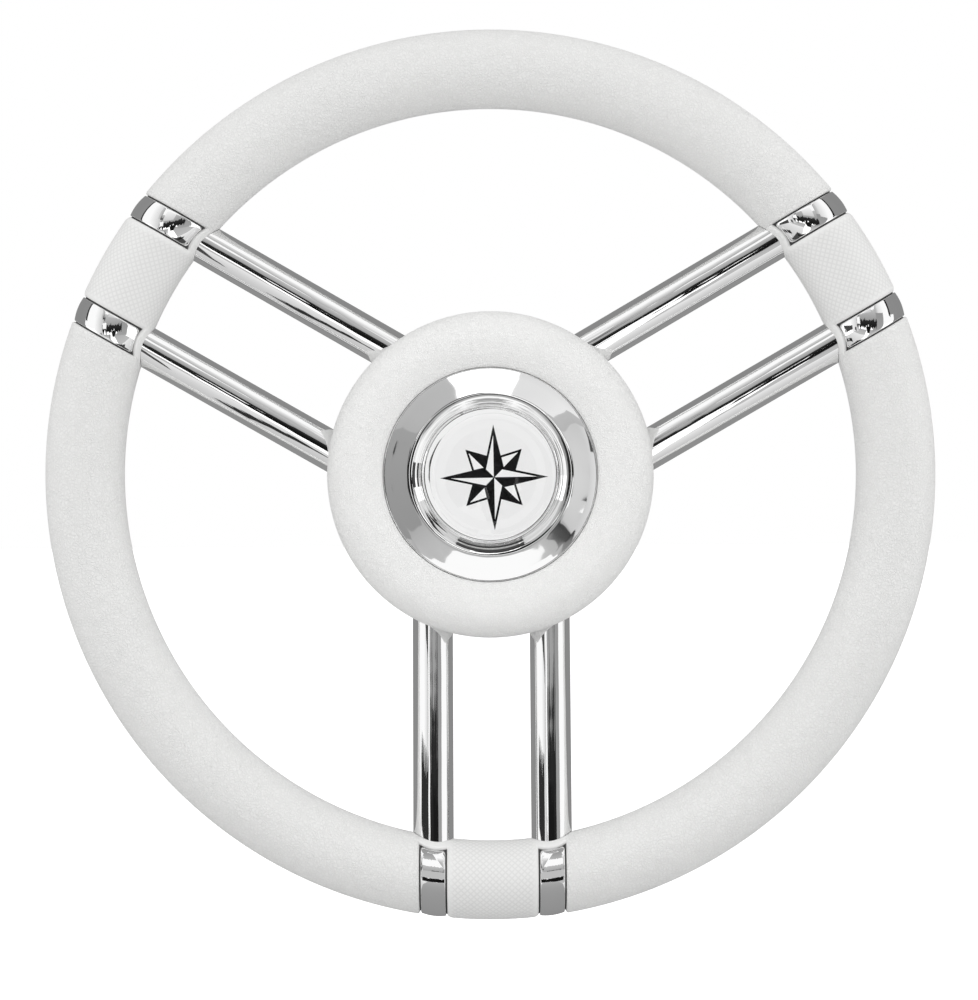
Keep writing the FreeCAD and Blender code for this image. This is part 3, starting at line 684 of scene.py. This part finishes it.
# %% The hollow, and the tubes' holes
CORE_GAP = 0.05
TUBE_GAP = 0.3
hollow = spun_ring(CORE_R + CORE_GAP, 32, 128)
bmesh.ops.reverse_faces(hollow, faces=hollow.faces)
hollow_mesh = to_mesh("hollow", hollow)
grip.from_mesh(hollow_mesh)
bpy.data.meshes.remove(hollow_mesh)
grip_piece = make_piece("moulded_grip", grip, grip_skin, "rim_cover",
                        cutter=bars(TUBE_R + TUBE_GAP, 120.0, CORE_STATION), sharp=38.0)
print("grip attribute kept:", "grained" in grip_piece.data.attributes)

# %% [markdown]
# Each trim band is a strap of polished steel, pressed round the grip in its
# recess. It is level with the grip along its middle and falls away to its sides,
# so its reflections bend. It starts as a flat grid, which is wrapped twice: one
# way round the strap's own section, the other way round the grip, from the
# collar in front, over the outside, to the collar behind.

# %% The strap's section and its rows
STRAP_HALF = 4.85            # half its width
STRAP_FACE = 15.5            # its middle's distance from the ring's line
STRAP_FALL = 0.55            # how much nearer its sides are
STRAP_INNER = 14.2
STRAP_EDGE = 0.3             # the rounding of its edges
STRAP_CORNER = 1.4           # and of its corners, seen from outside
STRAP_COLLAR = 12.05         # its end's distance from the tube's line
STRAP_ROWS = 96
quarter = [0.0, 30.0, 60.0, 90.0]

strap_section = []           # (share of the half width, inset from the side, is outer)
for share in (-0.8, -0.55, -0.28, 0.0, 0.28, 0.55, 0.8):
    strap_section.append((share, 0.0, True))
for angle in reversed(quarter):
    turn = math.radians(angle)
    strap_section.append((1.0, STRAP_EDGE * (1 - math.cos(turn)), True))
strap_section += [(1.0, 0.0, False), (0.5, 0.0, False), (-0.5, 0.0, False), (-1.0, 0.0, False)]
for angle in quarter:
    turn = math.radians(angle)
    strap_section.append((-1.0, STRAP_EDGE * (1 - math.cos(turn)), True))

strap_ends = []              # (distance from the end, drop from the face)
for angle in quarter:
    turn = math.radians(angle)
    strap_ends.append((STRAP_EDGE * (1 - math.cos(turn)), STRAP_EDGE * (1 - math.sin(turn))))
strap_ends += [(STRAP_CORNER * share, 0.0) for share in (0.35, 0.5, 0.65, 0.82, 1.0)]
print(len(strap_section), "points round a strap's section,",
      STRAP_ROWS + 2 * len(strap_ends), "rows along it")

# %% [markdown]
# Near its ends a strap narrows to rounded corners, and its rows keep their
# distance from the tube, so the end is an arc beside the collar's. Between the
# two ends the rows are even. The open ends of the wrapped grid are filled.

# %% Wrapping a strap
def strap_width(from_end):
    if from_end >= STRAP_CORNER:
        return STRAP_HALF
    return STRAP_HALF - STRAP_CORNER + math.sqrt(STRAP_CORNER ** 2 - (STRAP_CORNER - from_end) ** 2)


def strap_point(pair, side, spot, from_end, drop, rear, between=None):
    share, inset, outer = spot
    width = strap_width(from_end)
    local = share * width - math.copysign(inset, share) * (abs(share) == 1.0)
    offset = side * HALF + local
    radius = STRAP_INNER
    if outer:
        rounding = 0.0
        if abs(share) == 1.0:
            rounding = STRAP_EDGE * (1 - math.sqrt(max(0.0, 1 - (1 - inset / STRAP_EDGE) ** 2)))
        radius = STRAP_FACE - STRAP_FALL * (local / STRAP_HALF) ** 2 - rounding - drop
    if between is None:
        phi = collar_angle(offset, STRAP_COLLAR + from_end, side, rear, STRAP_FACE)
    else:
        front = collar_angle(offset, STRAP_COLLAR + STRAP_CORNER, side, False, STRAP_FACE)
        back = collar_angle(offset, STRAP_COLLAR + STRAP_CORNER, side, True, STRAP_FACE) - math.tau
        phi = front + (back - front) * between
    return ring_point(pair, offset, 0.0, radius, phi)


def strap(pair, side):
    count = len(strap_section)
    row_plan = [(end, drop, False, None) for end, drop in strap_ends]
    row_plan += [(STRAP_CORNER, 0.0, False, step / (STRAP_ROWS + 1))
                 for step in range(1, STRAP_ROWS + 1)]
    row_plan += [(end, drop, True, None) for end, drop in reversed(strap_ends)]
    bm = bmesh.new()
    bmesh.ops.create_grid(bm, x_segments=len(row_plan) - 1, y_segments=count, size=1.0)
    for vert in bm.verts:
        row = round((vert.co.x + 1) / 2 * (len(row_plan) - 1))
        spot = round((vert.co.y + 1) / 2 * count) % count
        from_end, drop, rear, between = row_plan[row]
        vert.co = strap_point(pair, side, strap_section[spot], from_end, drop, rear, between)
    bmesh.ops.remove_doubles(bm, verts=bm.verts, dist=0.001)
    bmesh.ops.holes_fill(bm, edges=[edge for edge in bm.edges if edge.is_boundary])
    return closed(bm)


for place, (pair, side) in SPOKES.items():
    make_piece("strap_" + place, strap(pair, side), band_steel,
               "band_" + place, sharp=50.0)

# %% [markdown]
# The twin tubes are plain drawn tube, polished. The rim end of each is coped: it
# is cut to the hollow shape that saddles the steel ring it is welded to. The
# tube's wall is spun as a rectangle about the tube's line, and then every point
# at its outer end slides along that line until it meets the ring.

# %% The spoke tubes
def tube(pair, side):
    lay = on_spoke(pair, side, SPOKE_SEAT)
    length = (spoke_point(pair, side, CORE_STATION) - spoke_point(pair, side, SPOKE_SEAT)).length
    bm = bmesh.new()
    stops = [length * step / 8 for step in range(9)]
    outer = [bm.verts.new((TUBE_R, 0, stop)) for stop in stops]
    inner = [bm.verts.new((TUBE_R - TUBE_WALL, 0, stop)) for stop in reversed(stops)]
    loop = outer + inner
    edges = [bm.edges.new((loop[at - 1], loop[at])) for at in range(len(loop))]
    bmesh.ops.spin(bm, geom=loop + edges, cent=(0, 0, 0), axis=(0, 0, 1), angle=math.tau,
                   steps=96, use_merge=True)
    closed(bm)
    for vert in bm.verts:
        if vert.co.z > length - 0.01:
            vert.co.z = coped_length(lay, vert.co, length)
    bmesh.ops.transform(bm, matrix=lay, verts=bm.verts)
    return bm


def coped_length(lay, spot, length):
    near, far = length * 0.8, length
    for _ in range(30):
        middle = (near + far) / 2
        point = lay @ Vector((spot.x, spot.y, middle))
        gap = math.hypot(math.hypot(point.x, point.z) - RIM_R, point.y - RIM_Y) - CORE_R
        if gap > 0:
            near = middle
        else:
            far = middle
    return near


for place, (pair, side) in SPOKES.items():
    make_piece("tube_" + place, tube(pair, side), tube_steel, "spoke_" + place)

# %% [markdown]
# The hub's pad is turned: a gentle crown up from the cap's edge, a tight shoulder
# over to a short straight wall, and inside it the seat for the carrier. Six
# notches let it down over the tubes.

# %% The pad
CREST_R = 53.0               # the pad's highest circle
CROWN_R = 24.0
SHOULDER_R = 11.5
MOUTH_R = 42.25              # the edge round the cap
MOUTH_EDGE = 0.6
PAD_SPLIT = 13.66            # where the rear cover starts
SPLIT_EDGE = 0.4
CARRIER_R = 59.2
BORE_R = 39.5
NOTCH_GAP = 0.4
mouth_lean = math.degrees(math.asin((CREST_R - MOUTH_R) / CROWN_R))
pad_profile = arc((CREST_R, 16.26), CROWN_R, -90.0 - mouth_lean, -90.0, 16)
mouth_depth = pad_profile.pop(0)[1]
pad_profile += arc((CREST_R, 3.76), SHOULDER_R, -90.0, 0.0, 24)[1:]
pad_profile += arc((64.1, PAD_SPLIT - SPLIT_EDGE), SPLIT_EDGE, 0.0, 90.0, 4)
pad_profile += [(61.5, PAD_SPLIT), (61.5, 4.5), (CARRIER_R, 4.5), (CARRIER_R, 1.0)]
pad_profile += [(BORE_R, 1.0), (BORE_R, -2.62), (MOUTH_R, -3.39)]
pad_profile += arc((MOUTH_R + MOUTH_EDGE, mouth_depth + 0.75), MOUTH_EDGE,
                   180.0, 270.0 - mouth_lean, 4)
make_piece("padded_ring", lathe(pad_profile, is_loop=True), pad_skin, "hub_pad",
           cutter=bars(TUBE_R + NOTCH_GAP, SPOKE_SEAT, 90.0))

# %% [markdown]
# The centre cap is spun sheet steel, polished: a dished ring, a rounded foot and
# a raised boss with a narrow lip round the label's recess. It is a mirror, so its
# profile needs true arcs with many steps, or the reflections would show flats,
# and a point close before each bend, so that the flat in between stays flat.

# %% The centre cap
CAP_TURN = 17.0              # the dished ring's slope, in degrees
FLOOR_FRONT, FLOOR_BACK = -6.843, -5.443
FLOOR_R = 25.9
FLOOR_EDGE = 0.4
FOOT = (31.6, -6.043)        # the rounded foot's centre
FOOT_R, FOOT_BACK_R = 4.0, 5.4
SKIRT_R, SKIRT_INNER_R = 36.8, 33.6
SEAL_SEAT_R = 35.0
SKIRT_END = 5.3
under_end = 180.0 - math.degrees(math.asin((FLOOR_BACK - FOOT[1]) / FOOT_BACK_R))
cap_profile = [(0.0, FLOOR_FRONT), (FLOOR_R - 0.3, FLOOR_FRONT), (FLOOR_R, FLOOR_FRONT)]
cap_profile += arc((FLOOR_R, -7.243), FLOOR_EDGE, 90.0, 0.0, 4)
cap_profile += arc((26.95, -7.193), 0.65, 180.0, 360.0, 20)      # the lip
cap_profile += arc(FOOT, FOOT_R, 180.0, 90.0 - CAP_TURN, 28)
cap_profile += [(33.4, -2.411), (36.0, -3.206), (39.0, -4.123), (41.3, -4.826)]
cap_profile += arc((41.6, -4.52), 0.4, -90.0 - CAP_TURN, 0.0, 6)
cap_profile += arc((41.6, -4.04), 0.4, 0.0, 90.0, 4)
cap_profile += [(SKIRT_R, -2.05), (SKIRT_R, 2.15), (SEAL_SEAT_R, 2.15), (SEAL_SEAT_R, 4.15)]
cap_profile += [(SKIRT_R, 4.15), (SKIRT_R, SKIRT_END), (SKIRT_INNER_R, SKIRT_END)]
cap_profile += [(SKIRT_INNER_R, -0.643)]
cap_profile += arc(FOOT, FOOT_BACK_R, 90.0, under_end, 10)
cap_profile += [(0.0, FLOOR_BACK)]
make_piece("polished_cap", lathe(cap_profile, steps=256), cap_steel,
           "centre_cap")

# %% [markdown]
# The resin dome is poured a little off centre, as the label under it was laid.
# Its underside is lifted by a few hundredths from the print, so that no two
# surfaces share a place.

# %% The dome
LABEL_AT = (0.85, -0.595)
DOME_R = 24.6
DOME_RISE = 1.2
DOME_BACK, DOME_CREST = -7.373, -8.943
SOFT_WIDTH, SOFT_DROP = 1.2, 0.35        # its shoulder falls away from the lens
dome_sphere = (DOME_R ** 2 + DOME_RISE ** 2) / (2 * DOME_RISE)
dome_profile = [(0.0, DOME_BACK), (DOME_R - 0.15, DOME_BACK), (DOME_R, -7.5)]
for step in range(25):
    radius = (DOME_R - 0.06) * (1 - step / 24)
    sag = dome_sphere - math.sqrt(dome_sphere ** 2 - radius ** 2)
    soft = SOFT_DROP * max(0.0, (radius - DOME_R + SOFT_WIDTH) / SOFT_WIDTH) ** 2
    dome_profile.append((radius, DOME_CREST + sag + soft))
dome = lathe(dome_profile, steps=128)
bmesh.ops.translate(dome, vec=(LABEL_AT[0], 0, LABEL_AT[1]), verts=dome.verts)
make_piece("resin_dome", dome, dome_resin, "dial_dome")

# %% [markdown]
# The other nodes have the right shape already. They keep their CAD meshes and
# only take a finish.

# %% Finishes for the CAD nodes that stay
finishes = {
    "rim_core": drawn_steel, "pad_carrier": nylon, "hub_casting": cast_aluminium,
    "rear_cover": cover_skin, "cap_seal": seal_rubber, "pad_screws": screw_steel,
    "cover_screws": screw_steel, "grub_screws": screw_steel, "dial_label": label_vinyl,
    "dial_ground": ground_ink, "rose_dark": dark_ink, "rose_light": light_ink,
}
for node, finish in finishes.items():
    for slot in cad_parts[node].material_slots:
        slot.material = finish
print(len(finishes), "nodes keep their CAD mesh")

# %% [markdown]
# The photograph is a product cut-out on pure white. The floor is a pale sheet
# well below the wheel. To the camera it is as bright as the background where the
# light reaches it, so only the wheel's shadow shows, and no horizon does. The sky
# needs the same switch, which is 1 for what is seen, straight or in steel and
# resin, and 0 for what only lights.

# %% The floor
def seen(tree):
    path = add_node(tree, "LightPath")
    value = path.outputs["Is Camera Ray"]
    for kind in ("Is Glossy Ray", "Is Transmission Ray"):
        value = add_node(tree, "Math", {0: value, 1: path.outputs[kind]},
                         operation="MAXIMUM").outputs[0]
    return value


def stage_piece(name, bm, material, hidden=()):
    bmesh.ops.scale(bm, vec=(MM, MM, MM), verts=bm.verts)
    thing = bpy.data.objects.new(name, to_mesh(name, bm))
    bpy.context.scene.collection.objects.link(thing)
    thing.data.materials.append(material)
    for kind in hidden:
        setattr(thing, "visible_" + kind, False)
    return thing


FLOOR_Z = -340.0
FLOOR_SIZE = 12000.0
FLOOR_GLOW = 0.75
floor_paint, tree, shader, _ = new_material("pale_floor", Roughness=0.9)
shader.inputs["Base Color"].default_value = linear("#D8D8D8")
strength = add_node(tree, "Math", {0: seen(tree), 1: FLOOR_GLOW}, operation="MULTIPLY")
shader.inputs["Emission Color"].default_value = linear("#FFFFFF")
tree.links.new(strength.outputs[0], shader.inputs["Emission Strength"])
floor = bmesh.new()
bmesh.ops.create_grid(floor, x_segments=1, y_segments=1, size=FLOOR_SIZE,
                      matrix=Matrix.Translation((0, 0, FLOOR_Z)))
stage_piece("floor", floor, floor_paint)
print("floor", -FLOOR_Z - WHEEL_R, "mm under the rim")

# %% [markdown]
# Polished steel shows the studio, so the studio has to be there: cards in greys
# all round the wheel. They glow in their own colour, are seen only in
# reflections, and throw no light or shadow. Each is shaded between two greys by
# an attribute of its mesh.

# %% The cards' paint
HIDDEN_FROM = ("camera", "diffuse", "transmission", "shadow", "volume_scatter")


def card_paint(name, low, high):
    material = bpy.data.materials.new(name)
    material.use_nodes = True
    tree = material.node_tree
    tree.nodes.clear()
    height = add_node(tree, "Attribute", attribute_name="height").outputs["Fac"]
    shade = add_node(tree, "Mix", {"Factor": height, "A": linear(low), "B": linear(high)},
                     data_type="RGBA")
    glow = add_node(tree, "Emission", {"Color": shade.outputs["Result"]})
    add_node(tree, "OutputMaterial", {"Surface": glow.outputs[0]})
    return material


print("cards are hidden from", ", ".join(HIDDEN_FROM))

# %% [markdown]
# Three forms are enough. A patch is a part of a sphere round the wheel, so it is
# placed by the two angles at which a mirror would see it, and its edges may be
# ragged, as the outline of a room is. A flat card is a thin box, for what stands
# or lies near. A low screen is a curved strip round the wheel's foot.

# %% The cards' forms
def patch(name, azimuth, elevation, low, high=None, distance=1400.0, ragged=0.0, foot=1.0,
          sideways=False):
    """A card on a sphere round the wheel, shaded from its lower to its upper edge, or
    from left to right. Angles are from the camera's side, and foot is the share of
    its width that its lower edge has."""
    bm = bmesh.new()
    bmesh.ops.create_grid(bm, x_segments=48, y_segments=24, size=1.0)
    height = bm.verts.layers.float.new("height")
    middle, half = (azimuth[0] + azimuth[1]) / 2, (azimuth[1] - azimuth[0]) / 2
    for vert in bm.verts:
        across, up = vert.co.x, (vert.co.y + 1) / 2
        vert[height] = (across + 1) / 2 if sideways else up
        along = Vector((across * half * 0.3, up * 2, len(name)))
        wander = ragged * abs(2 * up - 1) * noise.noise(along)
        a = math.radians(middle + half * across * (foot + (1 - foot) * up * up))
        e = math.radians(elevation[0] + (elevation[1] - elevation[0]) * up + wander)
        towards = Vector((math.sin(a) * math.cos(e), -math.cos(a) * math.cos(e), math.sin(e)))
        vert.co = towards * distance
    return stage_piece(name, bm, card_paint(name, low, high or low), HIDDEN_FROM)


def flat_card(name, corner, opposite, rear, front=None):
    """A box between two corners, shaded from its rear to its front."""
    low, high = Vector(corner), Vector(opposite)
    bm = bmesh.new()
    bmesh.ops.create_cube(bm, size=1.0)
    height = bm.verts.layers.float.new("height")
    for vert in bm.verts:
        vert[height] = 0.5 - vert.co.y
        vert.co = Vector([low[axis] + (high[axis] - low[axis]) * (vert.co[axis] + 0.5)
                          for axis in range(3)])
    return stage_piece(name, bm, card_paint(name, rear, front or rear), HIDDEN_FROM)


SCREEN_R = 170.0


def low_screen(name, azimuth, low, high, colour, ragged):
    """An upright curved card close in front of the wheel's foot, between two heights."""
    bm = bmesh.new()
    bmesh.ops.create_grid(bm, x_segments=60, y_segments=1, size=1.0)
    bm.verts.layers.float.new("height")
    for vert in bm.verts:
        a = math.radians(azimuth[0] + (azimuth[1] - azimuth[0]) * (vert.co.x + 1) / 2)
        top = high - ragged * abs(noise.noise(Vector((vert.co.x * 5, 0, len(name)))))
        vert.co = Vector((math.sin(a) * SCREEN_R, RIM_Y - math.cos(a) * SCREEN_R,
                          top if vert.co.y > 0 else low))
    return stage_piece(name, bm, card_paint(name, colour, colour), HIDDEN_FROM)


print("low screens stand", SCREEN_R, "mm round the shaft's line")

# %% [markdown]
# In front is the dark room behind the camera, with a darker figure where the
# camera stands, and over them the paler upper room. They make the dark lines
# along the tubes and the shading of the cap's ring.

# %% Cards in front
patch("dark_room", (-28, 28), (-6, 7), "#141414", "#2C2C2C", distance=1240.0, ragged=9.0)
patch("photographer", (-4, 13), (-22, -4), "#1C1C1C", "#141414", distance=1230.0, ragged=3.0,
      foot=0.35)
patch("dark_spot", (-36, -31), (-13, -6), "#4A4A4A", distance=1240.0, ragged=2.0)
patch("dark_corner", (-28, -21), (17, 23), "#3A3A3A", "#8C8C8C", distance=1240.0, ragged=6.0)
patch("upper_room", (-25, 25), (4, 25.5), "#949494", "#C0C0C0", distance=1350.0, ragged=3.0)
patch("door_light", (-27, -18), (0, 11), "#FFFFFF", distance=1200.0, ragged=2.0)
patch("upper_right", (24, 47), (19, 48), "#AEAEAE", "#FFFFFF", distance=1340.0, sideways=True)
patch("upper_left", (-47, -24), (19, 48), "#FFFFFF", "#A8A8A8", distance=1340.0, sideways=True)
patch("right_grey", (16, 48), (-16, 20), "#A2A2A2", "#949494", distance=1380.0)
patch("left_pale", (-50, -24), (-16, 20), "#FFFFFF", "#C6C6C6", distance=1380.0, sideways=True)
print("six patches in front, and four to their sides")

# %% [markdown]
# The ceiling and the wall behind the wheel are plain grey. Steel shows what is
# behind it only along its edges, where they draw the tubes' grey outlines. The
# two near pairs of pale cards are what the side bands' fronts see.

# %% Cards above, behind and beside
patch("ceiling", (-100, 100), (66, 88), "#9A9A9A", distance=1300.0)
patch("ceiling_front", (-20, 20), (46, 68), "#B4B4B4", "#9A9A9A", distance=1290.0, ragged=3.0)
patch("rear_cove", (96, 264), (-80, 80), "#8C8C8C", "#8A8A8A", distance=900.0)
patch("rear_side_right", (82, 96), (-34, 24), "#7E7E7E", "#8E8E8E", distance=900.0)
patch("rear_side_left", (-96, -82), (-34, 24), "#7E7E7E", "#8E8E8E", distance=900.0)
patch("rear_edge_right", (70, 98), (16, 62), "#8C8C8C", distance=890.0)
patch("rear_edge_left", (-98, -78), (16, 62), "#8C8C8C", distance=890.0)
patch("rear_line_right", (67, 72), (14, 58), "#1C1C1C", distance=880.0, ragged=6.0)
patch("rear_line_left", (-81, -76), (14, 58), "#1C1C1C", distance=880.0, ragged=6.0)
patch("side_sky_right", (40, 56), (20, 50), "#DCDCDC", "#FFFFFF", distance=480.0, sideways=True)
patch("side_sky_left", (-56, -40), (20, 50), "#FFFFFF", "#DCDCDC", distance=480.0, sideways=True)
patch("side_pale_right", (18, 36), (23, 36), "#CCCCCC", "#F6F6F6", distance=320.0)
patch("side_pale_left", (-36, -18), (23, 36), "#CCCCCC", "#F6F6F6", distance=320.0)
print("a ceiling, a rear wall with edges and lines, and four pale side cards")

# %% [markdown]
# Close to the wheel's foot are low dark things that only the lower tubes and
# bands can see, and in front of the hub is a small pale ring, which brightens the
# lip. The last cards lie on the floor, in strips from front to back, and give the
# tubes' lower sides their greys and one dark line.

# %% Cards close to the wheel, and on the floor
low_screen("stand_left", (-74, -34), -130, -84, "#303030", 28.0)
low_screen("stand_right", (-7, 22), -130, -92, "#1A1A1A", 26.0)
low_screen("stand_foot", (-32, 32), -186, -158, "#141414", 9.0)
lens_ring = lathe([(24.5, -48.0), (29.0, -48.0), (29.0, -47.0), (24.5, -47.0)], is_loop=True)
stage_piece("lens_ring", lens_ring, card_paint("lens_ring", "#F4F4F4", "#F4F4F4"), HIDDEN_FROM)
flat_card("near_grey", (-60, -110, -157), (60, -109, -139), "#C0C0C0")
flat_card("shelf", (-75, -300, -151), (75, -110, -150), "#464646")
flat_card("left_screen", (-151, -300, -25), (-150, -120, 25), "#464646")
flat_card("table", (-90, -380, -219), (90, 350, -216), "#606060", "#B0B0B0")
STRIP_END = 900
for side, word, start, pale_to in ((-1, "left", 90, -950), (1, "right", 150, -520)):
    near, far = sorted((side * start, side * STRIP_END))
    flat_card("floor_far_" + word, (near, -1750, -339), (far, pale_to, -338), "#BEBEBE", "#A8A8A8")
    flat_card("floor_front_" + word, (near, pale_to, -339), (far, -100, -338), "#C6C6C6", "#EEEEEE")
    flat_card("floor_line_" + word, (near, -100, -339), (far, -48, -338), "#1E1E1E")
    flat_card("floor_rear_" + word, (near, -48, -339), (far, 1000, -338), "#909090")
print("eight strips on the floor, out to", STRIP_END, "mm")

# %% [markdown]
# The light is plain: a wide soft lamp above and in front, weaker ones at both
# sides, a small one in front of the hub that lifts the rim's inner side, and an
# even sky. The sky is white for the camera and in reflections, and softer as a
# source of light.

# %% Lamps and sky
def lamp(name, place, size, power):
    data = bpy.data.lights.new(name, "AREA")
    data.shape = "SQUARE"
    data.size = size
    data.energy = power
    thing = bpy.data.objects.new(name, data)
    thing.location = place
    towards = Vector((0.0, RIM_Y * MM, 0.0)) - Vector(place)
    thing.rotation_euler = towards.to_track_quat("-Z", "Y").to_euler()
    thing.visible_glossy = False
    bpy.context.scene.collection.objects.link(thing)
    print(name, power, "W")


lamp("overhead", (0.1, -1.0, 2.0), 1.6, 8.5)
lamp("front_fill", (0.0, -0.5, 0.02), 0.25, 0.24)
lamp("left_side", (-2.0, -0.2, 0.2), 1.4, 8.0)
lamp("right_side", (2.0, -0.2, 0.2), 1.4, 9.0)

SKY_LIGHT = 0.84
world = bpy.data.worlds.new("studio")
bpy.context.scene.world = world
world.use_nodes = True
tree = world.node_tree
tree.nodes.clear()
strength = add_node(tree, "MapRange", {"Value": seen(tree), "To Min": SKY_LIGHT, "To Max": 1.0})
sky = add_node(tree, "Background", {"Color": linear("#FFFFFF"), "Strength": strength.outputs[0]})
add_node(tree, "OutputWorld", {"Surface": sky.outputs[0]})
print("sky gives", SKY_LIGHT, "as light")

# %% [markdown]
# The camera looks straight at the wheel from 1.1 m, the distance at which the
# hub, 18 mm behind the rim, comes out as small as it is in the photograph. The
# wheel stands a little above the middle of the frame, which is the lens's shift.

# %% The camera
scene = bpy.context.scene
DISTANCE = 1.1
FRAME_HEIGHT = 0.3937        # metres of the rim's plane that the frame shows
SENSOR = 36.0
camera_data = bpy.data.cameras.new("camera")
camera_data.sensor_fit = "VERTICAL"
camera_data.sensor_height = SENSOR
camera_data.lens = SENSOR * DISTANCE / FRAME_HEIGHT
camera_data.shift_x = -0.0014
camera_data.shift_y = -0.0255
camera = bpy.data.objects.new("camera", camera_data)
camera.location = (0.0, RIM_Y * MM - DISTANCE, 0.0)
camera.rotation_euler = (math.radians(90), math.radians(0.35), 0)
scene.collection.objects.link(camera)
scene.camera = camera
scene.view_settings.view_transform = "Standard"
print("lens", round(camera_data.lens, 1), "mm")
